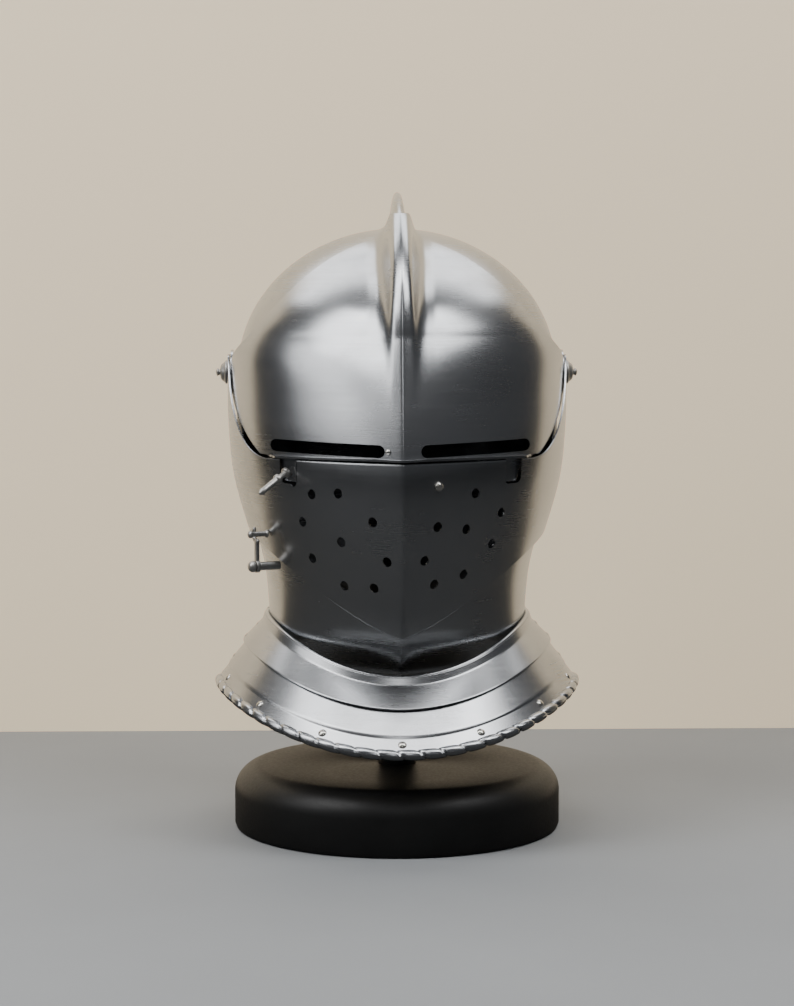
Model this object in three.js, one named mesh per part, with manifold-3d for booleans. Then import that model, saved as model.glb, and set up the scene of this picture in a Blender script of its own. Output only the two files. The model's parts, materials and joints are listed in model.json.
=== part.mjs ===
// Close helmet with comb, pivoting visor, ventail and bevor, flared gorget, on a black disc stand.
// Millimetres, +Z up, the face looks along -Y. The origin is the middle of the stand's underside.
// The helmet is drawn about the middle of its pivot axis, which runs along X from temple to temple.
import * as THREE from 'three';
import { mergeVertices } from 'three/addons/utils/BufferGeometryUtils.js';
import Module from 'manifold-3d';

// Plates
const plate = 1.2;
const plateGap = 0.8;
const layer = plate + plateGap;
const seatGap = 0.3;

// Stand
const pivotHeight = 286;
const baseRadius = 102.5;
const baseHeight = 39;
const baseRound = 16;
const baseFootRound = 3;
const postRadius = 11.5;
const socketDepth = 12;
const headRim = 42;
const headThickness = 4;
const headWide = 0.8;
const headDeep = 0.7;

// Face: the ventail's outside is the widest layer, and the others lie inside it
const cheekHalfWidth = 105.8;
const prowReach = 134;
const ventailDrop = 155;
const ventailSideDrop = 98;
const lipDrop = 48.5;
const keelDepth = 22;
const keelSpread = 2.4;
const armRise = 11;
const armAngle = 96;
const armStart = 50;
const armSweep = 36;
const vSharpness = 1.35;

// Skull
const runningGap = 0.4;
const skullHalfWidth = cheekHalfWidth - 3 * layer - runningGap;
const skullRadius = 89;
const combRadius = 112.3;
const combCrest = 3.2;
const combFoot = 14;
const napeDepth = 76;
const skullSideDrop = 157;
const browReach = 74;
const browRise = 34;

// Bevor and neck
const neckHalfWidth = 80.2;
const chinReach = 77;
const bevorDrop = 178;
const bevorLap = 12;
const bevorTuck = 6;

// Gorget
const rimHalfWidth = 115.2;
const rimReach = 120;
const rimBack = 122;
const rimSideDrop = 192.5;
const rimFrontDrop = 221;
const rimBackDrop = 205;
const collarHalfWidth = neckHalfWidth + layer;
const collarReach = 83;
const collarBack = napeDepth + layer + 1;
const lameInset = 1.5 * layer;
const collarSideDrop = 151;
const collarFrontDrop = 180.5;
const collarBackDrop = 128;
const lameLap = 5;
const ropeRadius = 3.3;
const ropeTwists = 56;
const ropeCut = 0.5;
const gorgetSplit = 96;
const napeAngle = 180;
const splitGap = 1;

// Sights, breaths and hardware
const sightHeight = 7.4;
const sightInner = 10.5;
const sightOuter = 77.5;
const sightDrop = 42.6;
const sightRise = 1.3;
const breathRadius = 3;
const breathRingRadius = 27;
const breathRightAcross = 35.6;
const breathRightDrop = 96.5;
const breathLeftAcross = 37.6;
const breathLeftDrop = 89;
const tabAcross = 67.5;
const tabWidth = 11;
const tabLength = 14;
const notchGap = 1.2;
const pivotBoltRadius = 3;
const boltHeadRadius = 7.5;
const boltHeadLength = 7;
const boltNutRadius = 6;
const boltNutLength = 4;
const liningRivetHeight = 1.8;
const sideRivetHeight = 1.5;
const nutStandoff = 0.4;
const armEyeRadius = 14;
const eyeThickness = 1.2 * plate;
const liningRivetRadius = 2.8;
const liningRivetCount = 14;
const sideRivetRadius = 2.2;
const pegLength = 25;
const pegTilt = 26;
const pegPlace = 0.6;
const pegRadius = 2.1;
const pegFoot = 1.5;
const ventailStudRadius = 2.8;
const ventailStudAcross = 20.6;
const ventailStudDrop = 62.8;
const sightStudRadius = 1.6;
const sightStudAcross = 8.7;
const latchHeight = 19.5;
const latchPinRadius = 2.3;
const latchPinLength = 13;
const latchPinSeat = 1;
const hookWidth = 3;
const hookThickness = 2.4;
const latchGap = 0.5;
const hookEye = 3.8;
const hookStand = 6.8;
const screwRadius = 1.6;
const screwStem = 2.9;
const screwHead = 4;
const screwSeat = 7;

const steel = { color: '#a3a19b', roughness: 0.28, metalness: 1 };
const darkSteel = { color: '#7d7a74', roughness: 0.35, metalness: 1 };
const rivetSteel = { color: '#9a958a', roughness: 0.35, metalness: 1 };
const black = { color: '#121212', roughness: 0.55, metalness: 0 };

const wasm = await Module();
wasm.setup();

const rad = THREE.MathUtils.degToRad;
const clamp = THREE.MathUtils.clamp;
const lerp = THREE.MathUtils.lerp;
const smooth = THREE.MathUtils.smoothstep;

// A smooth curve through the rows of a table: the value in one column at a place in another.
function along(rows, place, key, column) {
  let i = 0;
  while (i < rows.length - 2 && place > rows[i + 1][key]) i += 1;
  const slope = (a, b) => (rows[b][column] - rows[a][column]) / (rows[b][key] - rows[a][key]);
  const span = rows[i + 1][key] - rows[i][key];
  const here = slope(i, i + 1);
  const before = i > 0 ? slope(i - 1, i) : here;
  const after = i < rows.length - 2 ? slope(i + 1, i + 2) : here;
  const join = (a, b) => (a * b > 0 ? (2 * a * b) / (a + b) : 0);
  const t = clamp((place - rows[i][key]) / span, 0, 1);
  const [m0, m1] = [join(before, here) * span, join(here, after) * span];
  const [p0, p1] = [rows[i][column], rows[i + 1][column]];
  return p0 * (1 + 2 * t) * (1 - t) ** 2 + m0 * t * (1 - t) ** 2
    + p1 * t * t * (3 - 2 * t) + m1 * t * t * (t - 1);
}

// Level sections of the ventail: shares of its drop, of the cheeks' width and of the prow's reach
const faceSections = [
  { drop: -0.15, width: 1, reach: 0.885 },
  { drop: 0, width: 1, reach: 0.93 },
  { drop: 0.16, width: 1, reach: 0.97 },
  { drop: 0.32, width: 0.985, reach: 1 },
  { drop: 0.42, width: 0.967, reach: 1 },
  { drop: 0.55, width: 0.915, reach: 0.982 },
  { drop: 0.665, width: 0.86, reach: 0.95 },
  { drop: 0.775, width: 0.822, reach: 0.905 },
  { drop: 0.88, width: 0.803, reach: 0.85 },
  { drop: 1, width: 0.792, reach: 0.776 },
];

// Level sections of the bevor: how far its width has gone to the neck's and its reach to the chin's
const bevorSections = [
  { drop: -0.1, neck: 0, chin: 0 },
  { drop: 0.27, neck: 0.1, chin: 0 },
  { drop: 0.37, neck: 0.26, chin: 0.02 },
  { drop: 0.48, neck: 0.5, chin: 0.07 },
  { drop: 0.58, neck: 0.68, chin: 0.15 },
  { drop: 0.675, neck: 0.88, chin: 0.27 },
  { drop: 0.765, neck: 0.96, chin: 0.4 },
  { drop: 0.85, neck: 1, chin: 0.53 },
  { drop: 0.905, neck: 1, chin: 0.64 },
  { drop: 0.945, neck: 1, chin: 0.79 },
  { drop: 0.975, neck: 1, chin: 0.91 },
  { drop: 1, neck: 1, chin: 1 },
];

// A level section is an oval with a keel pinched out of its front. across runs -1 to 1.
function keeled(halfWidth, reach, keel, across) {
  const side = Math.abs(across);
  return (reach - keel) * Math.sqrt(Math.max(0, 1 - side * side)) + keel * (1 - side) ** keelSpread;
}

function facePoint(angle, z, inset) {
  const drop = -z / ventailDrop;
  const halfWidth = cheekHalfWidth * along(faceSections, drop, 'drop', 'width') - inset;
  const reach = prowReach * along(faceSections, drop, 'drop', 'reach') - inset;
  const turn = rad(angle);
  if (Math.abs(angle) > 90) {
    return new THREE.Vector3(halfWidth * Math.sin(turn), -reach * Math.cos(turn), z);
  }
  return new THREE.Vector3(
    halfWidth * Math.sin(turn), -keeled(halfWidth, reach, keelDepth, Math.sin(turn)), z);
}

function bevorPoint(angle, z, inset) {
  const drop = -z / bevorDrop;
  const neck = along(bevorSections, drop, 'drop', 'neck');
  const chin = along(bevorSections, drop, 'drop', 'chin');
  const halfWidth = lerp(cheekHalfWidth - 2 * layer - runningGap / 2, neckHalfWidth, neck) - inset;
  const reach = lerp(prowReach - 2 * layer, chinReach, chin) - inset;
  const turn = rad(angle);
  const depth = Math.abs(angle) > 90
    ? reach * Math.cos(turn) : keeled(halfWidth, reach, keelDepth, Math.sin(turn));
  return new THREE.Vector3(halfWidth * Math.sin(turn), -depth, z);
}

// The face as a surface over x and z, and the way out of it at a place
function faceAt(inset) {
  return (x, z) => {
    const halfWidth = facePoint(90, z, inset).x;
    return facePoint(THREE.MathUtils.radToDeg(Math.asin(clamp(x / halfWidth, -1, 1))), z, inset);
  };
}

function normalAt(pointAt, x, z) {
  const step = plate / 2;
  const across = pointAt(x + step, z).sub(pointAt(x - step, z));
  const down = pointAt(x, z - step).sub(pointAt(x, z + step));
  return down.cross(across).normalize();
}

function facing(normal) {
  return new THREE.Quaternion().setFromUnitVectors(new THREE.Vector3(0, 1, 0), normal);
}

// Solids and meshes
function toSolid(geometry) {
  const bare = geometry.clone();
  bare.deleteAttribute('normal');
  bare.deleteAttribute('uv');
  const merged = mergeVertices(bare, 1e-4);
  return new wasm.Manifold(new wasm.Mesh({
    numProp: 3,
    vertProperties: new Float32Array(merged.attributes.position.array),
    triVerts: new Uint32Array(merged.index.array),
  }));
}

function toGeometry(solid) {
  const mesh = solid.getMesh();
  const geometry = new THREE.BufferGeometry();
  geometry.setAttribute('position', new THREE.Float32BufferAttribute(mesh.vertProperties, 3));
  geometry.setIndex([...mesh.triVerts]);
  geometry.computeVertexNormals();
  return geometry;
}

function indexed(points, faces) {
  const geometry = new THREE.BufferGeometry();
  const places = points.flatMap((p) => p.toArray());
  geometry.setAttribute('position', new THREE.Float32BufferAttribute(places, 3));
  geometry.setIndex(faces);
  return geometry;
}

// A plate of even thickness under a surface. pointAt(u, v) runs left to right and top to bottom.
function plateShell(pointAt, columns, rows, thickness = plate) {
  const step = 1e-3;
  const outer = [];
  const inner = [];
  for (let j = 0; j <= rows; j += 1) {
    for (let i = 0; i <= columns; i += 1) {
      const [u, v] = [i / columns, j / rows];
      const across = pointAt(Math.min(1, u + step), v).sub(pointAt(Math.max(0, u - step), v));
      const down = pointAt(u, Math.min(1, v + step)).sub(pointAt(u, Math.max(0, v - step)));
      const point = pointAt(u, v);
      const normal = down.cross(across).normalize();
      outer.push(point);
      inner.push(point.clone().addScaledVector(normal, -thickness));
    }
  }
  const at = (i, j) => j * (columns + 1) + i;
  const back = outer.length;
  const faces = [];
  const quad = (a, b, c, d) => faces.push(a, b, c, a, c, d);
  for (let j = 0; j < rows; j += 1) {
    for (let i = 0; i < columns; i += 1) {
      const [a, b, c, d] = [at(i, j), at(i, j + 1), at(i + 1, j + 1), at(i + 1, j)];
      quad(a, b, c, d);
      quad(back + a, back + d, back + c, back + b);
    }
  }
  const rim = [];
  for (let i = 0; i < columns; i += 1) rim.push(at(i, 0));
  for (let j = 0; j < rows; j += 1) rim.push(at(columns, j));
  for (let i = columns; i > 0; i -= 1) rim.push(at(i, rows));
  for (let j = rows; j > 0; j -= 1) rim.push(at(0, j));
  rim.forEach((a, k) => {
    const b = rim[(k + 1) % rim.length];
    quad(a, b, back + b, back + a);
  });
  return indexed([...outer, ...inner], faces);
}

// A closed loft through rings of points, with a point at the middle of each end.
function closedLoft(rings) {
  const count = rings[0].length;
  const points = rings.flat();
  const faces = [];
  for (let j = 0; j < rings.length - 1; j += 1) {
    for (let i = 0; i < count; i += 1) {
      const [a, b] = [j * count + i, j * count + (i + 1) % count];
      faces.push(a, b, b + count, a, b + count, a + count);
    }
  }
  const middle = (ring) => ring.reduce((sum, p) => sum.add(p), new THREE.Vector3()).divideScalar(count);
  const [first, last] = [points.length, points.length + 1];
  const end = (rings.length - 1) * count;
  points.push(middle(rings[0]), middle(rings.at(-1)));
  for (let i = 0; i < count; i += 1) {
    const next = (i + 1) % count;
    faces.push(first, next, i, last, end + i, end + next);
  }
  return indexed(points, faces);
}

function named(name, geometry, look) {
  const mesh = new THREE.Mesh(geometry, new THREE.MeshStandardMaterial(look));
  mesh.name = name;
  return mesh;
}

function rod(radius, length, sides = 16) {
  return new THREE.CylinderGeometry(radius, radius, length, sides);
}

function placed(geometry, x, y, z) {
  return geometry.clone().translate(x, y, z);
}

// The pivot holes go through every layer, both temples at once.
function pivotHoles() {
  return toSolid(rod(pivotBoltRadius + plateGap, 3 * cheekHalfWidth).rotateZ(rad(90)));
}

// Skull: an oval bowl with a hollow comb over a neck tube, cut open at the face and the neck
const combColumns = [
  { across: 0, rise: 1 },
  { across: 0.6, rise: 0.985 },
  { across: 1, rise: 0.93 },
  { across: 1.15, rise: 0.6 },
  { across: 1.9, rise: 0.25 },
  { across: 2.9, rise: 0.08 },
  { across: combFoot / combCrest, rise: 0 },
];

function combStrength(phi) {
  return 1 - smooth(-phi, 88, 140);
}

function bowlReach(direction, rise, phi, inset) {
  const [dx, dy, dz] = direction.toArray();
  const across = skullHalfWidth - inset;
  const bowl = 1 / Math.hypot(dx / across, Math.hypot(dy, dz) / (skullRadius - inset));
  const crown = bowl + rise * (combRadius - skullRadius) * combStrength(phi);
  if (dz >= 0) return crown;
  const deepest = -1.8 * skullSideDrop / dz;
  let tube = across;
  for (let pass = 0; pass < 12; pass += 1) {
    const z = Math.max(tube * dz, -skullSideDrop);
    const halfWidth = bevorPoint(90, z, layer + runningGap + inset).x;
    tube = Math.min(deepest, 1 / Math.hypot(dx / halfWidth, dy / (napeDepth - inset)));
  }
  const blend = 6 * Math.min(1, -4 * dz);
  const meet = Math.max(blend - Math.abs(crown - tube), 0) / Math.max(blend, 1e-6);
  return Math.max(crown, tube) + meet * meet * blend / 4;
}

function bowlSolid(inset) {
  const crestHalf = combCrest - inset;
  const comb = combColumns.map((row) => ({
    alpha: THREE.MathUtils.radToDeg(Math.atan2(
      row.across * crestHalf,
      skullRadius + row.rise * (combRadius - skullRadius))),
    rise: row.rise,
  }));
  const open = [16, 24, 29, 35, 45, 56, 68, 80].map((alpha) => ({ alpha, rise: 0 }));
  const half = [...comb, ...open];
  const columns = [...half.slice(1).reverse().map((c) => ({ ...c, alpha: -c.alpha })), ...half];
  const turns = 27;
  const rings = columns.map(({ alpha, rise }) => {
    const ring = [];
    for (let i = 0; i < turns; i += 1) {
      const phi = i * 360 / turns - 180;
      const [a, p] = [rad(alpha), rad(phi)];
      const direction = new THREE.Vector3(
        Math.sin(a), -Math.cos(a) * Math.sin(p), Math.cos(a) * Math.cos(p));
      ring.push(direction.multiplyScalar(bowlReach(direction, rise, phi, inset)));
    }
    return ring;
  });
  const points = closedLoft(rings);
  const ends = points.attributes.position;
  const poles = ends.count - 2;
  ends.setXYZ(poles, -(skullHalfWidth - inset), 0, 0);
  ends.setXYZ(poles + 1, skullHalfWidth - inset, 0, 0);
  return toSolid(points);
}

// A prism along X from an outline of [y, z] points in side view.
function sideCut(outline) {
  const shape = new THREE.Shape(outline.map(([y, z]) => new THREE.Vector2(y, z)));
  const width = 3 * cheekHalfWidth;
  const prism = new THREE.ExtrudeGeometry(shape, { depth: width, bevelEnabled: false });
  const frame = new THREE.Matrix4().makeBasis(
    new THREE.Vector3(0, 1, 0), new THREE.Vector3(0, 0, 1), new THREE.Vector3(1, 0, 0));
  return toSolid(prism.applyMatrix4(frame).translate(-width / 2, 0, 0));
}

function skull() {
  const far = 2 * ventailDrop;
  const temple = armEyeRadius - 1;
  const face = sideCut([
    [-browReach, browRise], [-browReach / 2, armRise - 4], [-temple, -armRise], [-2, -4 * armRise],
    [0, -far], [-far, -far], [-far, browRise]]);
  const edge = [0, 0.25, 0.5, 0.75, 1].map((share) => [
    share * collarBack, -lerp(collarSideDrop, collarBackDrop, share * share) - bevorTuck]);
  const neck = sideCut([
    [-far, -skullSideDrop], ...edge, [far, -collarBackDrop - bevorTuck], [far, -far], [-far, -far]]);
  const shell = bowlSolid(0).subtract(bowlSolid(plate)).subtract(face).subtract(neck);
  return named('skull', toGeometry(shell.subtract(pivotHoles())), steel);
}

// Ventail: upper edge level under the visor's lip, then up to the arms; lower edge a V to the chin
function ventailTop(angle) {
  const seam = lipDrop + plateGap;
  return -seam + (seam + armRise) * clamp((Math.abs(angle) - armStart) / armSweep, 0, 1) ** 2;
}

function ventailBottom(angle) {
  const side = Math.min(1, Math.abs(Math.sin(rad(angle))));
  return -ventailDrop + (ventailDrop - ventailSideDrop) * side ** vSharpness;
}

function ventailPoint(u, v) {
  const angle = (2 * u - 1) * lerp(armAngle, 91, v);
  return facePoint(angle, lerp(ventailTop(angle), ventailBottom(angle), v), 0);
}

// Breath holes, from the middle of each ring: a share of the ring's radius across and up
const rightHoles = [
  { across: -0.64, up: 1.02 }, { across: -0.07, up: 1.07 }, { across: 0.67, up: 0.48 },
  { across: 0.98, up: -0.38 }, { across: 0.71, up: -0.99 }, { across: 0.07, up: -0.99 },
  { across: -0.63, up: -0.42 }, { across: -0.84, up: 0.39 }, { across: -1.05, up: 1.27 },
  { across: 0, up: 0 },
];
const leftHoles = [
  { across: 0.2, up: 0.78 }, { across: 0.8, up: 0.31 }, { across: 0.59, up: -0.38 },
  { across: -0.04, up: -1.02 }, { across: -0.7, up: -1.19 }, { across: -0.92, up: -0.64 },
  { across: -0.64, up: 0.09 }, { across: 0, up: 0 },
];

function breathPlaces() {
  const ring = (holes, x, z) => holes.map(({ across, up }) => [
    x + across * breathRingRadius, z + up * breathRingRadius]);
  return [
    ...ring(rightHoles, -breathRightAcross, -breathRightDrop),
    ...ring(leftHoles, breathLeftAcross, -breathLeftDrop),
  ];
}

function ventail() {
  let solid = toSolid(plateShell(ventailPoint, 28, 8));
  const face = faceAt(0);
  breathPlaces().forEach(([x, z]) => {
    const drill = rod(breathRadius, 10 * plate, 6).applyQuaternion(facing(normalAt(face, x, z)));
    solid = solid.subtract(toSolid(placed(drill, ...face(x, z).toArray())));
  });
  const notch = new THREE.BoxGeometry(tabWidth + 2 * notchGap, prowReach, 2 * (tabLength + notchGap));
  [-1, 1].forEach((side) => {
    solid = solid.subtract(toSolid(placed(notch, side * tabAcross, -prowReach, -lipDrop)));
  });
  return named('ventail', toGeometry(solid.subtract(pivotHoles())), steel);
}

// Bevor: upper edge laps up behind the ventail's lower edge, arms rise to the pivots
function bevorTop(angle) {
  const side = Math.abs(angle);
  const rise = smooth(side, 62, 84);
  return lerp(ventailBottom(angle) + bevorLap, armRise - 3, rise);
}

function bevorBottom(angle) {
  return -lerp(collarSideDrop, collarFrontDrop, Math.cos(rad(angle)) ** 2) - bevorTuck;
}

function bevorSurface(u, v) {
  const angle = (2 * u - 1) * lerp(armAngle, 95, v);
  return bevorPoint(angle, lerp(bevorTop(angle), bevorBottom(angle), v), 0);
}

function bevor() {
  const solid = toSolid(plateShell(bevorSurface, 28, 8));
  return named('bevor', toGeometry(solid.subtract(pivotHoles())), steel);
}

// Visor: a keeled dome that swings over the skull, turned in to the ventail's section towards the lip
const visorRows = [
  { phi: 20, radius: 0, keel: 1 },
  { phi: 45, radius: 0.02, keel: 1 },
  { phi: 60, radius: 0.1, keel: 0.9 },
  { phi: 75, radius: 0.3, keel: 0.66 },
  { phi: 90, radius: 0.6, keel: 0.36 },
  { phi: 105, radius: 0.9, keel: 0.08 },
  { phi: 114, radius: 1, keel: 0 },
  { phi: 130, radius: 1, keel: 0 },
];
const visorTopEdge = [
  { alpha: 0, phi: 36 },
  { alpha: 2, phi: 35 },
  { alpha: 5, phi: 29 },
  { alpha: 9, phi: 25.5 },
  { alpha: 23, phi: 33 },
  { alpha: 39, phi: 44.5 },
  { alpha: 52, phi: 54 },
  { alpha: 65, phi: 61 },
  { alpha: 90, phi: 70 },
];
const visorColumns = [0, 2.5, 3.8, 5.6, 8.5, 14, 21, 29, 37, 45, 53, 62, 73, 85];
const visorRadius = skullRadius + layer;
const visorInset = layer + runningGap / 2;
const visorHalfWidth = cheekHalfWidth - visorInset;
const visorLowRadius = 131;
const visorLowest = 128;
const keelRise = combRadius + layer + 1 - visorRadius;
const keelSharp = 3;
const lipReach = 5.5;
const armFlat = 34;
const visorCourses = 12;

// A level section of the face, set in under the visor's outside: its half width and its depth at x
function visorSection(x, z) {
  const drop = -z / ventailDrop;
  const halfWidth = cheekHalfWidth * along(faceSections, drop, 'drop', 'width') - visorInset;
  const reach = prowReach * along(faceSections, drop, 'drop', 'reach') - visorInset;
  return { halfWidth, depth: keeled(halfWidth, reach, keelDepth, Math.min(1, Math.abs(x) / halfWidth)) };
}

function visorLowEdge(alpha) {
  const level = (plate - lipDrop) / (visorLowRadius * Math.cos(rad(alpha)));
  return Math.min(visorLowest, THREE.MathUtils.radToDeg(Math.acos(Math.max(-1, level))));
}

function visorPoint(alpha, v, lip) {
  const side = Math.abs(alpha);
  const phi = lerp(along(visorTopEdge, side, 'alpha', 'phi'), visorLowEdge(side), v);
  const wide = lerp(visorRadius, visorLowRadius, along(visorRows, phi, 'phi', 'radius'));
  const crest = skullRadius * Math.tan(rad(side));
  const across = Math.max(0, crest - layer - plateGap) / combCrest;
  const comb = across < combFoot / combCrest ? along(combColumns, across, 'across', 'rise') : 0;
  const ridge = Math.max(0, 1 - crest / (combCrest + layer)) * keelSharp;
  const r = wide * Math.cos(rad(side))
    + (comb * keelRise + ridge) * along(visorRows, phi, 'phi', 'keel');
  const faceShare = smooth(phi, 45, 100);
  const flat = 0.5 * visorHalfWidth * (r / wide) ** 2
    * Math.exp(-((r / armFlat) ** 4)) * (1 - faceShare);
  const x = Math.min(visorHalfWidth, visorHalfWidth * Math.sin(rad(side)) + flat);
  const z = r * Math.cos(rad(phi));
  const low = visorSection(x, z);
  const depth = lerp(r * Math.sin(rad(phi)), low.depth, faceShare);
  const out = lip * lipReach * (1 - smooth(x, sightOuter - 6, sightOuter));
  const share = x / low.halfWidth;
  return new THREE.Vector3(
    Math.sign(alpha) * (x + out * share), -depth - out * Math.sqrt(Math.max(0, 1 - share * share)), z);
}

function visorSurface(u, v) {
  const last = visorColumns.length - 1;
  const place = Math.abs(2 * u - 1) * last;
  const i = Math.min(last - 1, Math.floor(place));
  const alpha = lerp(visorColumns[i], visorColumns[i + 1], place - i);
  const sign = u < 0.5 ? -1 : 1;
  const bend = 1 - 1 / visorCourses;
  return visorPoint(sign * Math.max(alpha, 1e-4), Math.min(1, v / bend), Math.max(0, v - bend) / (1 - bend));
}

function sightSlot() {
  const radius = sightHeight / 2;
  const shape = new THREE.Shape();
  const outer = sightOuter - radius / 2;
  shape.moveTo(sightInner + radius, -radius);
  shape.lineTo(outer, -radius + sightRise);
  shape.absarc(outer, sightRise, radius, -Math.PI / 2, Math.PI / 2, false);
  shape.lineTo(sightInner + radius, radius);
  shape.absarc(sightInner + radius, 0, radius, Math.PI / 2, 1.5 * Math.PI, false);
  const prism = new THREE.ExtrudeGeometry(shape, { depth: prowReach, bevelEnabled: false, curveSegments: 5 });
  return prism.rotateX(rad(90)).translate(0, -prowReach / 6, -sightDrop);
}

function tabSurface(side) {
  return (u, v) => {
    const x = side * tabAcross + (u - 0.5) * tabWidth;
    const z = lerp(-lipDrop + plate, -lipDrop - tabLength, v);
    return new THREE.Vector3(x, -visorSection(x, z).depth, z);
  };
}

function visor() {
  let solid = toSolid(plateShell(visorSurface, 2 * (visorColumns.length - 1), visorCourses));
  const eye = rod(armEyeRadius, eyeThickness, 20).rotateZ(rad(90));
  const slot = toSolid(sightSlot());
  [-1, 1].forEach((side) => {
    solid = solid.add(toSolid(placed(eye, side * (visorHalfWidth - eyeThickness / 2), 0, 0)));
    solid = solid.subtract(side > 0 ? slot : slot.mirror([1, 0, 0]));
    solid = solid.add(toSolid(plateShell(tabSurface(side), 3, 3)));
  });
  return named('visor', toGeometry(solid.subtract(pivotHoles())), steel);
}

// Gorget lames, front and back. Each row is a share of the way from the collar to the rim.
const gorgetRows = [
  { step: 0, out: 0, down: 0 },
  { step: 0.12, out: 0.05, down: 0.12 },
  { step: 0.45, out: 0.42, down: 0.42 },
  { step: 0.8, out: 0.8, down: 0.78 },
  { step: 1, out: 1, down: 1 },
];
const lameBreak = 0.45;

function gorgetPoint(angle, step, inset) {
  const out = along(gorgetRows, step, 'step', 'out');
  const down = along(gorgetRows, step, 'step', 'down');
  const turn = rad(angle);
  const front = Math.cos(turn) > 0;
  const halfWidth = lerp(collarHalfWidth, rimHalfWidth, out) - inset;
  const reach = front ? lerp(collarReach, rimReach, out) : lerp(collarBack, rimBack, out);
  const side = lerp(collarSideDrop, rimSideDrop, down);
  const end = front ? lerp(collarFrontDrop, rimFrontDrop, down) : lerp(collarBackDrop, rimBackDrop, down);
  return new THREE.Vector3(
    halfWidth * Math.sin(turn), -(reach - inset) * Math.cos(turn),
    -lerp(side, end, Math.cos(turn) ** 2));
}

function lame(middle, spread, from, to, inset, columns = 22, rows = 3) {
  return toSolid(plateShell(
    (u, v) => gorgetPoint(middle + (2 * u - 1) * spread, lerp(from, to, v), inset), columns, rows));
}

// A roped edge: a round bead along the rim with slanting cuts.
function rope(middle, spread, inset) {
  const sides = 6;
  const steps = Math.round(2 * spread * ropeTwists / 360) * 2;
  const rings = [];
  for (let i = 0; i <= steps; i += 1) {
    const angle = middle + lerp(spread, -spread, i / steps);
    const centre = gorgetPoint(angle, 1, inset);
    const tangent = gorgetPoint(angle - 0.5, 1, inset).sub(gorgetPoint(angle + 0.5, 1, inset)).normalize();
    const outward = new THREE.Vector3(-tangent.y, tangent.x, 0).normalize();
    const upward = tangent.clone().cross(outward);
    const ring = [];
    for (let k = 0; k < sides; k += 1) {
      const turn = k * 2 * Math.PI / sides;
      const cut = ropeRadius - ropeCut * (1 + Math.cos(rad(angle * ropeTwists) + turn));
      const point = centre.clone().addScaledVector(outward, cut * Math.cos(turn));
      ring.push(point.addScaledVector(upward, cut * Math.sin(turn)));
    }
    rings.push(ring);
  }
  return toSolid(closedLoft(rings));
}

const lapShare = lameLap / Math.hypot(rimHalfWidth - collarHalfWidth, rimSideDrop - collarSideDrop);

function gorgetPlates(prefix, middle, spread) {
  const upper = lame(middle, spread, 0, lameBreak, 0);
  const lower = lame(middle, spread, lameBreak - lapShare, 1, lameInset);
  return [
    named(`${prefix}_lame_upper`, toGeometry(upper), steel),
    named(`${prefix}_lame_lower`, toGeometry(lower.add(rope(middle, spread, lameInset))), steel),
  ];
}

// Small domed rivets on a surface point, looking along its normal
function dome(radius, height, sides = 8) {
  const curve = (radius * radius + height * height) / (2 * height);
  const turn = Math.asin(radius / curve) / 2;
  const profile = [
    [0, 0], [radius, 0], [curve * Math.sin(turn), height - curve + curve * Math.cos(turn)], [0, height],
  ].map(([r, h]) => new THREE.Vector2(r, h));
  return new THREE.LatheGeometry(profile, sides);
}

function seated(name, geometry, point, normal, look) {
  const mesh = named(name, geometry, look);
  mesh.position.copy(point).addScaledVector(normal, seatGap);
  mesh.quaternion.copy(facing(normal));
  return mesh;
}

function gorgetNormal(angle, step, inset) {
  const tangent = gorgetPoint(angle + 1, step, inset).sub(gorgetPoint(angle - 1, step, inset));
  const down = gorgetPoint(angle, step + 0.02, inset).sub(gorgetPoint(angle, step - 0.02, inset));
  return down.cross(tangent).normalize();
}

const liningRivetStep = 0.89;

function liningRivets() {
  const rivets = [];
  for (let i = 0; i < liningRivetCount; i += 1) {
    const angle = i * 360 / liningRivetCount;
    rivets.push(seated(
      `lining_rivet_${i + 1}`, dome(liningRivetRadius, liningRivetHeight),
      gorgetPoint(angle, liningRivetStep, lameInset), gorgetNormal(angle, liningRivetStep, lameInset),
      rivetSteel));
  }
  return rivets;
}

const sideRivetSteps = [
  { step: 0.2, inset: 0 },
  { step: 0.4, inset: 0 },
  { step: 0.7, inset: lameInset },
];

function sideRivets() {
  return [-1, 1].flatMap((side) => sideRivetSteps.map(({ step, inset }, i) => {
    const angle = side * (gorgetSplit - 5);
    const word = side > 0 ? 'left' : 'right';
    return seated(`side_rivet_${word}_${i + 1}`, dome(sideRivetRadius, sideRivetHeight),
      gorgetPoint(angle, step, inset), gorgetNormal(angle, step, inset), rivetSteel);
  }));
}

// Pivot bolts: a domed head outside, a shank through the layers and a nut inside the skull
function pivotBolt(name, side) {
  const outside = cheekHalfWidth + seatGap;
  const inside = skullHalfWidth - plate - 2 * seatGap - nutStandoff;
  const profile = [
    [0, inside - boltNutLength], [boltNutRadius, inside - boltNutLength], [boltNutRadius, inside],
    [pivotBoltRadius, inside], [pivotBoltRadius, outside], [boltHeadRadius, outside],
    [boltHeadRadius, outside + 0.25 * boltHeadLength],
    [0.7 * boltHeadRadius, outside + 0.55 * boltHeadLength],
    [0.3 * boltHeadRadius, outside + 0.7 * boltHeadLength], [0.3 * boltHeadRadius, outside + boltHeadLength],
    [0, outside + boltHeadLength],
  ].map(([r, h]) => new THREE.Vector2(r, h));
  return named(name, new THREE.LatheGeometry(profile, 12).rotateZ(rad(side > 0 ? -90 : 90)), darkSteel);
}

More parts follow.
